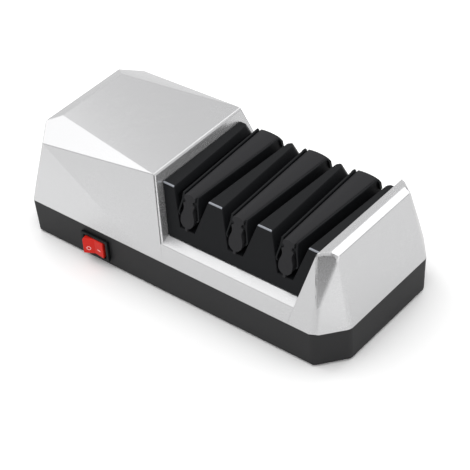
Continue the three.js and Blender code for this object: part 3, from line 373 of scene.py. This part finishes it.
class Bench:
    """Modelling steps on one mesh, done with operators."""

    def __init__(self, piece: bpy.types.Object) -> None:
        """Keep the piece that is worked on."""
        self.piece = piece

    @classmethod
    def added(cls, name: str) -> "Bench":
        """Return a bench with the primitive that was added last, its place put into its mesh.

        Args:
            name: The piece's name.

        Returns:
            The bench.
        """
        piece = bpy.context.object
        piece.name = piece.data.name = name
        bpy.ops.object.transform_apply(location=True, rotation=True, scale=True)
        return cls(piece)

    @classmethod
    def block(cls, name: str, low: Iterable[float], high: Iterable[float]) -> "Bench":
        """Return a bench with a block between two corners.

        Args:
            name: The piece's name.
            low: Its lowest corner.
            high: Its highest corner.

        Returns:
            The bench.
        """
        low, high = Vector(low), Vector(high)
        bpy.ops.object.select_all(action="DESELECT")
        bpy.ops.mesh.primitive_cube_add(size=1, location=(low + high) / 2, scale=high - low)
        return cls.added(name)

    @classmethod
    def copy(cls, node: str, name: str) -> "Bench":
        """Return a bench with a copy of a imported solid, its loose triangles merged into flat faces.

        Args:
            node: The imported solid's name.
            name: The copy's name.

        Returns:
            The bench.
        """
        piece = bpy.data.objects.new(name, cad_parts[node].data.copy())
        piece.data.name = name
        bpy.context.scene.collection.objects.link(piece)
        bench = cls(piece)
        with bench.editing():
            bpy.ops.mesh.select_all(action="SELECT")
            bpy.ops.mesh.remove_doubles(threshold=MERGE_REACH)
            bpy.ops.mesh.dissolve_limited(angle_limit=FLAT_ANGLE)
            bpy.ops.mesh.normals_make_consistent(inside=False)
        return bench

    @contextmanager
    def editing(self) -> Iterator[bmesh.types.BMesh]:
        """Open the piece in edit mode with nothing selected, and close it afterwards.

        Yields:
            The mesh that is edited, for as long as the block runs.
        """
        bpy.ops.object.select_all(action="DESELECT")
        bpy.context.view_layer.objects.active = self.piece
        self.piece.select_set(True)
        bpy.ops.object.mode_set(mode="EDIT")
        bpy.ops.mesh.select_mode(type="EDGE")
        bpy.ops.mesh.select_all(action="DESELECT")
        yield bmesh.from_edit_mesh(self.piece.data)
        bpy.ops.object.mode_set(mode="OBJECT")

    def bevel(self, width: float, test: Callable[[Crease], bool], segments: int = 2) -> None:
        """Round the edges that a test chooses.

        Args:
            width: How far the round reaches from the edge, in metres.
            test: Says of a crease whether it is rounded.
            segments: Strips across the round.
        """
        with self.editing() as mesh:
            count = 0
            for edge in mesh.edges:
                if len(edge.link_faces) == 2 and test(Crease.of(edge)):
                    edge.select_set(True)
                    count += 1
            bmesh.update_edit_mesh(self.piece.data)
            if count:
                bpy.ops.mesh.bevel(
                    offset_type="OFFSET", offset=width, segments=segments, profile=0.5, affect="EDGES",
                    clamp_overlap=True,
                )
        log.info("%s: %d edges rounded by %.2f mm", self.piece.name, count, width / MM)

    def round_edges(self, width: Callable[[Crease], float], segments: int = 3) -> None:
        """Round edges by widths that differ from edge to edge.

        Args:
            width: Gives the reach of the round at a crease in metres, 0 where it stays sharp.
            segments: Strips across each round.
        """
        with self.editing() as mesh:
            widths = {e.index: width(Crease.of(e)) for e in mesh.edges if len(e.link_faces) == 2}
            widest = max(widths.values())
            layers = mesh.edges.layers.float
            layer = layers.get("bevel_weight_edge") or layers.new("bevel_weight_edge")
            for edge in mesh.edges:
                edge[layer] = widths.get(edge.index, 0.0) / widest
            bmesh.update_edit_mesh(self.piece.data)
        rounds = self.piece.modifiers.new("rounds", "BEVEL")
        rounds.limit_method = "WEIGHT"
        rounds.width = widest
        rounds.segments = segments
        rounds.use_clamp_overlap = False
        bpy.ops.object.modifier_apply(modifier=rounds.name)
        log.info("%s: %d edges rounded", self.piece.name, sum(w > 0 for w in widths.values()))

    def finish(self, look: Finish, body: str, slot: str = "", replaces: Iterable[str] = ()) -> bpy.types.Object:
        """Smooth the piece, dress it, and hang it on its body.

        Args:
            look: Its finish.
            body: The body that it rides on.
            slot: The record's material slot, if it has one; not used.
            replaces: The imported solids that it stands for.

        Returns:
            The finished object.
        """
        bpy.ops.object.select_all(action="DESELECT")
        bpy.context.view_layer.objects.active = self.piece
        self.piece.select_set(True)
        bpy.ops.object.shade_smooth_by_angle(angle=SHARP_ANGLE)
        with self.editing() as mesh:
            for edge in mesh.edges:
                edge.select_set(edge.calc_face_angle(0.0) > SHARP_ANGLE)
            bmesh.update_edit_mesh(self.piece.data)
            bpy.ops.mesh.mark_sharp()
        even = self.piece.modifiers.new("even_shading", "WEIGHTED_NORMAL")
        even.keep_sharp = True
        even.weight = 100
        bpy.ops.object.modifier_apply(modifier=even.name)
        self.piece.data.materials.clear()
        self.piece.data.materials.append(look.material())
        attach(self.piece, body)
        nodes = list(replaces)
        if nodes:
            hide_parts(*nodes)
        log.info("%s: %d faces", self.piece.name, len(self.piece.data.polygons))
        return self.piece


@dataclass
class Cover:
    """The silver cover: hood, sill and end wall in one moulding.

    Attributes:
        edge_round: Reach of a round on most outer edges.
        hood_corner: Reach on the upright edges at the hood's open side.
        band_round: Reach along the bright band of the end wall.
        brow_round: Reach at the front end of that band.
        rear_round: Reach at its rear end.
        facet_round: Reach beside the dark facet of the end wall.
        end_corner: Reach on the upright edge between corner facet and end face.
        low_corner: Reach on the short upright edge between sill and corner facet.
        inner_corner: Reach on the upright edges of the end wall beside the recess.
        lip_round: Reach on the lip of the recess.
        lip_height: Height of the lip.
        lip_half: Half the depth beyond which a face doesn't belong to the recess.
        ledge_start: Distance from the middle at which the slopes beside the lip are looked for.
        ledge_gain: How far the slopes beside the lip are carried inward.
        hood_face: Least place along the machine of the hood's open side.
        end_wall: Where the end wall begins.
        facet_start: Where its corner facets begin.
        facet_top: Height of the short upright edges below them.
        end_face: Where its end face begins.
        brow_half: Distance from the middle at which the band's ends begin.
        brow_height: Height above which they lie.
        top_moves: Corners of the end wall's top in millimetres, each with how far it is carried.
    """

    edge_round: float = 0.35 * MM
    hood_corner: float = 1.1 * MM
    band_round: float = 0.5 * MM
    brow_round: float = 1.3 * MM
    rear_round: float = 1.3 * MM
    facet_round: float = 1.1 * MM
    end_corner: float = 2.0 * MM
    low_corner: float = 3.2 * MM
    inner_corner: float = 0.5 * MM
    lip_round: float = 0.6 * MM
    lip_height: float = 39.0 * MM
    lip_half: float = 47.0 * MM
    ledge_start: float = 44.5 * MM
    ledge_gain: float = 1.7 * MM
    hood_face: float = -20.0 * MM
    end_wall: float = 96.0 * MM
    facet_start: float = 105.0 * MM
    facet_top: float = 32.0 * MM
    end_face: float = 115.0 * MM
    brow_half: float = 36.5 * MM
    brow_height: float = 70.0 * MM
    top_moves: tuple[tuple[Triple, Triple], ...] = (
        ((104.0, 42.4, 73.1), (0.0, -0.218, 0.8)),
        ((109.4, 36.4, 73.1), (0.2, 0.0, 0.8)),
        ((112.7, 36.0, 71.6), (1.7, -0.9, 0.6)),
    )

    def build(self) -> None:
        """Build the cover from its solid, with its edges rounded."""
        bench = Bench.copy("top_cover", "cover_shell")
        self.widen_ledges(bench)
        self.raise_end_wall(bench)
        outer = self.outer_edges(bench)

        def width(crease: Crease) -> float:
            """Return the reach at a crease: the lip first, then the edges seen from outside."""
            if self.on_lip(crease):
                return self.lip_round
            if crease.key() not in outer:
                return 0.0
            return self.reach(crease)

        bench.round_edges(width)
        bench.finish(SILVER, "case", "silver_cover", ["top_cover"])

    def widen_ledges(self, bench: Bench) -> None:
        """Let the slopes of the ledges reach nearly to the lip of the recess.

        Args:
            bench: The cover's bench.
        """
        for side in (-1, 1):
            with bench.editing() as mesh:
                for edge in mesh.edges:
                    crease = Crease.of(edge)
                    level = abs(crease.middle.z - self.lip_height) < 0.05 * MM
                    beside = side * crease.middle.y > self.ledge_start
                    if level and beside and abs(crease.run.x) > 0.99 and 5 < abs(crease.turn) < 40:
                        edge.select_set(True)
                bmesh.update_edit_mesh(bench.piece.data)
                bpy.ops.transform.translate(value=(0, -side * self.ledge_gain, 0))

    def raise_end_wall(self, bench: Bench) -> None:
        """Carry the corners of the end wall's top to where they stand on the machine.

        Args:
            bench: The cover's bench.
        """
        for side in (-1, 1):
            for place, gain in self.top_moves:
                with bench.editing() as mesh:
                    corner = Vector((place[0], side * place[1], place[2])) * MM
                    for vert in mesh.verts:
                        if (vert.co - corner).length < 0.3 * MM:
                            vert.select_set(True)
                    bmesh.update_edit_mesh(bench.piece.data)
                    shift = Vector((gain[0], side * gain[1], gain[2])) * MM
                    bpy.ops.transform.translate(value=shift)

    def on_lip(self, crease: Crease) -> bool:
        """Return whether a crease is the upper edge of the recess.

        Args:
            crease: The crease.

        Returns:
            True on the lip.
        """
        flat = max(crease.first.z, crease.second.z)
        wall = min(abs(crease.first.z), abs(crease.second.z))
        level = abs(crease.middle.z - self.lip_height) < 0.1 * MM
        return level and flat > 0.99 and wall < 0.05 and crease.turn > 60 and abs(crease.run.x) > 0.9

    def reach(self, crease: Crease) -> float:
        """Return the reach of the round at an outer crease.

        Args:
            crease: The crease.

        Returns:
            The reach in metres, 0 to keep it sharp.
        """
        if crease.turn < 0:
            return 0.0
        place, upright = crease.middle, abs(crease.run.z) > 0.85
        if self.hood_face < place.x < 0 and upright:
            return self.hood_corner
        if place.x < self.end_wall:
            return self.edge_round
        if upright and crease.turn > 60:
            return self.inner_corner
        if upright and place.z < self.facet_top and place.x > self.facet_start:
            return self.low_corner
        if upright and place.x > self.end_face:
            return self.end_corner
        if abs(place.y) > self.brow_half and place.z > self.brow_height:
            return self.brow_round if place.y < 0 else self.rear_round
        if upright:
            return self.facet_round if crease.turn > 8 else 0.0
        return self.band_round

    def outer_edges(self, bench: Bench) -> set[tuple[float, ...]]:
        """Return the middles of the creases between the faces seen from outside.

        Args:
            bench: The cover's bench.

        Returns:
            The keys of those creases.
        """
        found = set()
        with bench.editing() as mesh:
            mesh.faces.ensure_lookup_table()
            start = max(mesh.faces, key=lambda f: f.calc_center_median().z + f.calc_area())
            reached, todo = {start}, [start]
            while todo:
                face = todo.pop()
                for edge in face.edges:
                    for other in edge.link_faces:
                        if other not in reached and not self.is_inside(other):
                            reached.add(other)
                            todo.append(other)
            for edge in mesh.edges:
                if len(edge.link_faces) == 2 and all(f in reached for f in edge.link_faces):
                    crease = Crease.of(edge)
                    if abs(crease.turn) > 3:
                        found.add(crease.key())
        return found

    def is_inside(self, face: bmesh.types.BMFace) -> bool:
        """Return whether a face is part of the lower rim or of the opening's wall.

        Args:
            face: The face.

        Returns:
            True where it is.
        """
        if face.normal.z < -0.5:
            return True
        centre = face.calc_center_median()
        low = centre.z < self.lip_height + 0.1 * MM
        return abs(face.normal.z) < 0.01 and low and abs(centre.y) < self.lip_half


@dataclass
class Tub:
    """The dark base tub.

    Attributes:
        outer_round: Reach of the rounds on the lower outline.
        corner: Reach on most upright corners.
        front_corner: Reach where the front meets the facet at the right.
        end_corner: Reach where that facet meets the end.
        outline: Distances from the middle, along and across, beyond which an edge can be on the outline.
        facet_start: Least place of the right corner facets' edges.
        end_face: Least place of those that meet the end.
    """

    outer_round: float = 0.7 * MM
    corner: float = 1.2 * MM
    front_corner: float = 3.2 * MM
    end_corner: float = 2.0 * MM
    outline: tuple[float, float] = (108.0 * MM, 37.0 * MM)
    facet_start: float = 90.0 * MM
    end_face: float = 115.0 * MM

    def build(self) -> None:
        """Build the base from its solid, with its outer edges rounded."""
        bench = Bench.copy("base_tub", "base_shell")
        corners = [v.co.copy() for v in bench.piece.data.vertices]

        def on_hull(normal: Vector, point: Vector) -> bool:
            """Return whether a face through a point lies on the base's outline."""
            return normal.dot(point) > max(normal.dot(c) for c in corners) - 0.05 * MM

        def width(crease: Crease) -> float:
            """Return the reach at a crease, 0 inside the base."""
            middle = crease.middle
            outline = abs(middle.x) > self.outline[0] or abs(middle.y) > self.outline[1]
            slopes = abs(crease.first.z) + abs(crease.second.z)
            if not outline or crease.turn < 12 or slopes > 1.2:
                return 0.0
            if not (on_hull(crease.first, middle) and on_hull(crease.second, middle)):
                return 0.0
            if abs(crease.run.z) < 0.8:
                return self.outer_round
            if middle.x < self.facet_start:
                return self.corner
            return self.front_corner if middle.x < self.end_face else self.end_corner

        bench.round_edges(width)
        bench.finish(BASE_PLASTIC, "case", "dark_plastic", ["base_tub"])


@dataclass
class Block:
    """The guide block, its guide bodies and their leaves.

    Attributes:
        top: Height of the walls.
        floor: Height of the notches' floor.
        lean: How far the front and rear faces lean in, as a share of the height.
        half_at_top: Half the depth of the walls at the top.
        stages: Places of the three stages along the machine.
        wall_middle: Distance from a stage to the middle of the wall beside it.
        flank_top: Half the width of a notch at the top.
        flare: How much wider a stage gets towards the back, on each side, as a share of the depth.
        flare_half: Distance from the middle of a stage at which the flare is whole.
        brow_round: Reach on the edge between a wall's top and its front or rear.
        front_round: Reach on the other edges of the front and the rear.
        wall_round: Reach on the long edges of a wall's top.
        rib_round: Reach on the edges of a guide body.
        leaf_round: Reach on the edges of a leaf.
        low: Height below which no edge of the block is rounded.
        rib_low: Height below which no edge of a guide body is rounded.
        brow_depth: How far below the top the painted highlight on the brows reaches.
        brow_front: Where that painted highlight lies across the machine, at most.
    """

    top: float = 70.5 * MM
    floor: float = 47.2 * MM
    lean: float = 0.2706
    half_at_top: float = 36.86 * MM
    stages: tuple[float, ...] = (8.5965 * MM, 45.0965 * MM, 81.5965 * MM)
    wall_middle: float = 18.25 * MM
    flank_top: float = 14.65 * MM
    flare: float = 0.042
    flare_half: float = 4.0 * MM
    brow_round: float = 0.75 * MM
    front_round: float = 0.45 * MM
    wall_round: float = 0.5 * MM
    rib_round: float = 0.35 * MM
    leaf_round: float = 0.15 * MM
    low: float = 45.0 * MM
    rib_low: float = 49.0 * MM
    brow_depth: float = 2.0 * MM
    brow_front: float = -34.0 * MM

    def on_end_face(self, point: Vector) -> bool:
        """Return whether a point lies in the leaning front or rear face of the block."""
        return abs(point.y) > self.half_at_top + self.lean * (self.top - point.z) - 0.3 * MM

    def spread(self, bench: Bench, keep_walls: bool) -> None:
        """Flare a copy towards the back, about the stage that each corner belongs to.

        Args:
            bench: The copy.
            keep_walls: Whether the flare fades out towards the middle of the walls.
        """
        for vert in bench.piece.data.vertices:
            place = vert.co
            stage = min(self.stages, key=lambda x: abs(place.x - x))
            aside = place.x - stage
            height = (place.z - self.floor) / (self.top - self.floor)
            share = min(1.0, abs(aside) / self.flare_half)
            if keep_walls:
                left = (self.wall_middle - abs(aside)) / (self.wall_middle - self.flank_top)
                share *= min(1.0, max(0.0, left))
            if height > 0:
                place.x += math.copysign(self.flare * min(height, 1.0) * share, aside) * place.y

    def wall_reach(self, crease: Crease) -> float:
        """Return the reach of the round at a crease of the block.

        Args:
            crease: The crease.

        Returns:
            The reach in metres, 0 to keep it sharp.
        """
        if crease.turn < 20 or crease.middle.z < self.low:
            return 0.0
        on_end = self.on_end_face(crease.middle)
        on_top = crease.middle.z > self.top - 0.2 * MM
        if on_end and on_top:
            return self.brow_round
        if on_end:
            return self.front_round
        return self.wall_round if on_top else 0.0

    def build(self) -> None:
        """Build the block, the guide bodies and the leaves."""
        bench = Bench.copy("guide_block", "guide_block_shell")
        bench.round_edges(self.wall_reach)
        self.spread(bench, keep_walls=True)
        block = bench.finish(BLOCK_PLASTIC, "case", "black_plastic", ["guide_block"])
        self.paint_brow_highlights(block)
        for stage in (1, 2, 3):
            node = f"guide_body_{stage}"
            rib = Bench.copy(node, f"guide_rib_{stage}")
            rib.bevel(self.rib_round, lambda c: c.turn > 40 and c.middle.z > self.rib_low)
            self.spread(rib, keep_walls=False)
            rib.finish(GUIDE_PLASTIC, "case", "black_plastic", [node])
            for side in ("left", "right"):
                leaf_node = f"guide_leaf_{stage}_{side}"
                leaf = Bench.copy(leaf_node, f"spring_leaf_{stage}_{side}")
                leaf.bevel(self.leaf_round, lambda c: c.turn > 30)
                self.spread(leaf, keep_walls=False)
                leaf.finish(BLOCK_PLASTIC, leaf_node, "black_plastic", [leaf_node])

    def paint_brow_highlights(self, block: bpy.types.Object) -> None:
        """Paint a highlight on the middle of the front brows of the walls, as a light second material.

        Args:
            block: The finished block.
        """
        block.data.materials.append(PAINTED_HIGHLIGHT_EDGE.material())
        count = 0
        for face in block.data.polygons:
            in_front = face.center.z > self.top - self.brow_depth and face.center.y < self.brow_front
            # Painted highlight: brow faces in front that face partly up get the light highlight material
            if in_front and 0.5 < face.normal.z < 0.97 and abs(face.normal.x) < 0.1:
                face.material_index = 1
                count += 1
        log.info("%s: %d painted_highlight faces", block.name, count)


@dataclass
class RockerSwitch:
    """The rocker switch in the front wall.

    Attributes:
        pivot: The axle of the rocker.
        tilt: How far the rocker is tipped, in degrees.
        width: Its length along X.
        height: Its height.
        valley: How far its faces' valley stands before the axle.
        end: How far its ends stand before the axle.
        back: How far it reaches behind the axle.
        drop: How far the ring and the bar sit above the middle of the rocker.
        edge_round: Reach on the rocker's edges.
        frame_round: Reach on the frame's edges.
        frame_depth: How deep behind the frame's face its edges are rounded.
        ring_radius: Radius of the ring.
        ring_wire: Half the width of its line.
        ring_flat: How flat the line is pressed.
        bar: Half the length, half the thickness and half the width of the bar.
    """

    pivot: Vector = Vector((-58.1 * MM, -55.3 * MM, 13.0 * MM))
    tilt: float = 11.0
    width: float = 14.8 * MM
    height: float = 11.6 * MM
    valley: float = 2.3 * MM
    end: float = 4.6 * MM
    back: float = 3.0 * MM
    drop: tuple[float, float] = (-1.5 * MM, -1.0 * MM)
    edge_round: float = 0.9 * MM
    frame_round: float = 0.6 * MM
    frame_depth: float = 1.2 * MM
    ring_radius: float = 1.25 * MM
    ring_wire: float = 0.22 * MM
    ring_flat: float = 0.4
    bar: Vector = Vector((1.4 * MM, 0.08 * MM, 0.3 * MM))

    def build(self) -> None:
        """Build the frame, the rocker and its two marks."""
        frame_bench = Bench.copy("switch_housing", "switch_frame")
        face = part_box("switch_housing")[0].y
        frame_bench.bevel(self.frame_round, lambda c: c.turn > 40 and c.middle.y < face + self.frame_depth)
        frame_bench.finish(SWITCH_PLASTIC, "case", "switch_plastic", ["switch_housing"])
        self.build_rocker()
        self.build_marks()

    def tip(self, bench: Bench) -> None:
        """Tip a piece modelled round the axle, and move it to its place."""
        turn = Matrix.Rotation(math.radians(self.tilt), 4, "Z")
        bench.piece.data.transform(Matrix.Translation(self.pivot) @ turn)

    def build_rocker(self) -> None:
        """Build the red rocker, with two faces that meet in a shallow valley."""
        half = self.width / 2
        low, high = (-half, -self.end, -self.height / 2), (half, self.back, self.height / 2)
        bench = Bench.block("rocker_key", low, high)
        with bench.editing():
            bpy.ops.mesh.select_all(action="SELECT")
            bpy.ops.mesh.bisect(plane_co=(0, 0, 0), plane_no=(1, 0, 0))
        with bench.editing() as mesh:
            bpy.ops.mesh.select_mode(type="VERT")
            for vert in mesh.verts:
                vert.select_set(abs(vert.co.x) < 0.01 * MM and vert.co.y < 0)
            bmesh.update_edit_mesh(bench.piece.data)
            bpy.ops.transform.translate(value=(0, self.end - self.valley, 0))
        bench.bevel(self.edge_round, lambda c: c.turn > 40, 3)
        self.tip(bench)
        bench.finish(RED_PLASTIC, "rocker", "red_plastic", ["switch_rocker"])

    def build_marks(self) -> None:
        """Build the ring and the bar that mark off and on."""
        slope = math.atan2(self.end - self.valley, self.width / 2)
        for name, side in (("mark_ring", -1), ("mark_bar", 1)):
            if side < 0:
                bpy.ops.object.select_all(action="DESELECT")
                bpy.ops.mesh.primitive_torus_add(
                    major_radius=self.ring_radius, minor_radius=self.ring_wire, major_segments=36, minor_segments=10
                )
                bench = Bench.added(name)
                bench.piece.data.transform(Matrix.Diagonal((1, 1, self.ring_flat, 1)))
                bench.piece.data.transform(Matrix.Rotation(math.radians(90), 4, "X"))
            else:
                bench = Bench.block(name, -self.bar, self.bar)
                bench.bevel(0.05 * MM, lambda c: c.turn > 40)
            middle = Vector((side * self.width / 4, -(self.end + self.valley) / 2, self.drop[side > 0]))
            bench.piece.data.transform(Matrix.Translation(middle) @ Matrix.Rotation(-side * slope, 4, "Z"))
            self.tip(bench)
            bench.finish(MARK_PAINT, "rocker")


@dataclass
class Inlet:
    """The power inlet in the rear wall.

    Attributes:
        edge_round: Reach on the flange's edges.
        flange: How thick the flange is.
    """

    edge_round: float = 0.4 * MM
    flange: float = 1.0 * MM

    def build(self) -> None:
        """Build the inlet from its solid, with its flange rounded."""
        bench = Bench.copy("inlet_body", "inlet_socket")
        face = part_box("inlet_body")[1].y
        bench.bevel(self.edge_round, lambda c: c.turn > 40 and c.middle.y > face - self.flange)
        bench.finish(SWITCH_PLASTIC, "case", "black_plastic", ["inlet_body"])


@dataclass
class CoilSprings:
    """The coil between the two wheels of each stage, in two halves that its wheels press.

    Attributes:
        stages: Places of the three stages along the machine.
        length: Length of a coil; not used.
        travel: How far a wheel can press its end; not used.
        spare: How much further the end gives, so that it stays off the wheel; not used.
    """

    stages: tuple[float, ...] = (8.6 * MM, 45.1 * MM, 81.6 * MM)
    length: float = 14.38 * MM
    travel: float = 0.8 * MM
    spare: float = 0.02 * MM

    def build(self) -> None:
        """Build both halves of each coil."""
        for stage, middle in enumerate(self.stages, start=1):
            for side, push in (("left", -1), ("right", 1)):
                node = f"wheel_spring_{stage}"
                half = Bench.copy(node, f"coil_half_{stage}_{side}")
                with half.editing():
                    bpy.ops.mesh.select_all(action="SELECT")
                    bpy.ops.mesh.bisect(
                        plane_co=(middle, 0, DRIVE_HEIGHT), plane_no=(-push, 0, 0), use_fill=True, clear_outer=True,
                    )
                piece = half.finish(BRIGHT_STEEL, "drive", replaces=[node])
                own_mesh(piece)


@dataclass
class Insides:
    """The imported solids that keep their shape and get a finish.

    Attributes:
        sharp_above: An edge that turns by more degrees than this is drawn sharp.
    """

    sharp_above: float = 35.0

    def looks(self) -> dict[str, Finish]:
        """Return the finish of each kind of node, by the start of its name."""
        return {
            "wheel_spacer": ZINC_STEEL,
            "wheel_": FERRITE,
            "drive_shaft": BRIGHT_STEEL,
            "shaft_": ZINC_STEEL,
            "bearing": BRONZE,
            "motor_can": ZINC_STEEL,
            "motor_bracket": ZINC_STEEL,
            "motor_end_cap": COMPONENT,
            "motor_magnet": FERRITE,
            "motor_armature": WINDING,
            "motor_screw": BRIGHT_STEEL,
            "switch_terminal": BRASS,
            "inlet_pin": BRASS,
            "power_board": BOARD,
            "board_rectifier": COMPONENT,
            "board_capacitor": FILM,
            "lead_inlet_to_board": LEAD_BLUE,
            "lead_motor_plus": LEAD_RED,
            "lead_motor_minus": LEAD_BLACK,
            "lead_": LEAD_BROWN,
            "cover_screw": ZINC_STEEL,
            "foot": RUBBER,
        }

    def build(self) -> None:
        """Dress each node that shows."""
        looks = self.looks()
        for name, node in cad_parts.items():
            if node.hide_render:
                continue
            look = next((looks[start] for start in looks if name.startswith(start)), None)
            if look is None:
                log.warning("%s has no finish", name)
                continue
            node.data.materials.clear()
            node.data.materials.append(look.material())
            for polygon in node.data.polygons:
                polygon.use_smooth = True
            node.modifiers.new("merge", "WELD").merge_threshold = MERGE_REACH
            split = node.modifiers.new("sharp_edges", "EDGE_SPLIT")
            split.split_angle = math.radians(self.sharp_above)


@dataclass(frozen=True)
class Lamp:
    """A square lamp with a soft edge.

    Attributes:
        name: Its name.
        place: Where it hangs.
        size: Its side.
        power: Its power in watts.
        aim: What it faces.
    """

    name: str
    place: Triple
    size: float
    power: float
    aim: Triple = (0.0, 0.0, 0.05)

    def hang(self) -> None:
        """Add the lamp to the scene."""
        data = bpy.data.lights.new(self.name, "AREA")
        data.size = self.size
        data.energy = self.power
        lamp = bpy.data.objects.new(self.name, data)
        lamp.location = self.place
        lamp.rotation_euler = (Vector(self.aim) - Vector(self.place)).to_track_quat("-Z", "Y").to_euler()
        bpy.context.scene.collection.objects.link(lamp)


@dataclass(frozen=True)
class Card:
    """A plain card that only reflections show, as a studio sets them out of the picture.

    Attributes:
        name: Its name.
        place: Its middle.
        width: Its width.
        height: Its height, or its depth where it lies.
        turn: How far it is turned about X and Z, in degrees.
        glow: How brightly it shines.
    """

    name: str
    place: Triple
    width: float
    height: float
    turn: tuple[float, float]
    glow: float

    def stand(self) -> None:
        """Add the card to the scene."""
        bpy.ops.object.select_all(action="DESELECT")
        about_x, about_z = (math.radians(angle) for angle in self.turn)
        bpy.ops.mesh.primitive_plane_add(size=1.0, location=self.place, rotation=(about_x, 0, about_z))
        bpy.context.object.scale = (self.width, self.height, 1.0)
        plane = Bench.added(self.name).piece
        made = bpy.data.materials.new(self.name)
        made.use_nodes = True
        graph = Graph(made.node_tree)
        shine = graph.node("ShaderNodeEmission", {}, {"Color": WHITE, "Strength": self.glow})
        graph.node("ShaderNodeOutputMaterial", {}, {"Surface": shine})
        plane.data.materials.append(made)
        for ray in ("camera", "diffuse", "shadow", "transmission", "volume_scatter"):
            setattr(plane, f"visible_{ray}", False)


LAMPS = (
    Lamp("left_lamp", (-0.47, 0.05, 0.61), 0.6, 1.02),
    Lamp("rear_lamp", (0.08, 0.6, 0.88), 0.5, 1.15),
    Lamp("key_lamp", (-0.45, -0.35, 1.2), 0.8, 1.1),
)
CARDS = (
    Card("dark_card", (0.285, -0.31, 0.13), 0.22, 0.28, (90, 43), 0.02),
    Card("dark_card_low", (0.33, -0.33, 0.0015), 0.24, 0.2, (0, 43), 0.15),
    Card("white_card", (0.75, -0.13, 0.1), 0.2, 0.22, (90, 90), 2.3),
    Card("pale_card_right", (0.27, -0.13, 0.001), 0.16, 0.12, (0, 0), 1.2),
    Card("pale_card_end", (0.3, 0.1, 0.001), 0.22, 0.3, (0, 0), 0.95),
    Card("pale_card_left", (-0.17, -0.13, 0.001), 0.14, 0.1, (0, 0), 1.1),
)
ROOM_LIGHT = 0.92
WALL_LIGHT = 0.67
FLOOR_SHADE = 0.84
FLOOR_SHOWN = 1.13


@dataclass
class Studio:
    """Floor, world, lamps and camera.

    Attributes:
        eye: Place of the camera.
        right: Direction of the picture's right side.
        up: Direction of the picture's top.
        back: Direction from the picture towards the camera.
        lens: Focal length in millimetres on a 36 mm sensor.
        floor_half: Half the side of the floor.
    """

    eye: Vector = Vector((0.563203, -0.628227, 0.698411))
    right: Vector = Vector((0.7781833, 0.6254090, -0.0573963))
    up: Vector = Vector((-0.3620312, 0.5213832, 0.7727179))
    back: Vector = Vector((0.5131902, -0.5805369, 0.6321492))
    lens: float = 134.02
    floor_half: float = 6.0

    def build(self) -> None:
        """Build the whole studio."""
        scene = bpy.context.scene
        scene.view_settings.view_transform = "Standard"
        self.camera(scene)
        self.floor()
        self.world(scene)
        for lamp in LAMPS:
            lamp.hang()
        for card in CARDS:
            card.stand()

    def camera(self, scene: bpy.types.Scene) -> None:
        """Add the camera.

        Args:
            scene: The scene that looks through it.
        """
        data = bpy.data.cameras.new("camera")
        data.lens = self.lens
        data.sensor_width = 36.0
        data.clip_start, data.clip_end = 0.05, 50.0
        camera = bpy.data.objects.new("camera", data)
        turn = Matrix((self.right, self.up, self.back)).transposed().to_4x4()
        camera.matrix_world = Matrix.Translation(self.eye) @ turn
        scene.collection.objects.link(camera)
        scene.camera = camera

    def floor(self) -> None:
        """Add the pale floor; it shows white and keeps the object's shadow."""
        bpy.ops.object.select_all(action="DESELECT")
        bpy.ops.mesh.primitive_plane_add(size=2 * self.floor_half)
        plane = Bench.added("floor").piece
        made = bpy.data.materials.new("pale_floor")
        made.use_nodes = True
        graph = Graph(made.node_tree)
        lit, shown = (
            graph.node("ShaderNodeBsdfDiffuse", {}, {"Color": (shade, shade, shade, 1.0)})
            for shade in (FLOOR_SHADE, FLOOR_SHOWN)
        )
        mixed = graph.node("ShaderNodeMixShader", {}, {0: graph.ray("Is Camera Ray"), 1: lit, 2: shown})
        graph.node("ShaderNodeOutputMaterial", {}, {"Surface": mixed})
        plane.data.materials.append(made)

    def world(self, scene: bpy.types.Scene) -> None:
        """Add the even light of the room, which shows white behind the object.

        Args:
            scene: The scene that it lights.
        """
        world = bpy.data.worlds.new("studio")
        world.use_nodes = True
        graph = Graph(world.node_tree)
        room = graph.node("ShaderNodeBackground", {}, {"Color": WHITE, "Strength": ROOM_LIGHT})
        walls = graph.node("ShaderNodeBackground", {}, {"Color": WHITE, "Strength": WALL_LIGHT})
        white = graph.node("ShaderNodeBackground", {}, {"Color": WHITE, "Strength": 1.0})
        mirrored = graph.ray("Is Glossy Ray").highest(graph.ray("Is Transmission Ray"))
        lit = graph.node("ShaderNodeMixShader", {}, {0: mirrored, 1: room, 2: walls})
        mixed = graph.node("ShaderNodeMixShader", {}, {0: graph.ray("Is Camera Ray"), 1: lit, 2: white})
        graph.node("ShaderNodeOutputWorld", {}, {"Surface": mixed})
        scene.world = world


def main() -> None:
    """Build the studio and every sub-assembly in order."""
    logging.basicConfig(level=logging.INFO, format="%(message)s")
    for part in (Studio(), Cover(), Tub(), Block(), RockerSwitch(), Inlet(), CoilSprings(), Insides()):
        log.info("building %s", type(part).__name__)
        part.build()


if __name__ == "__main__":
    main()
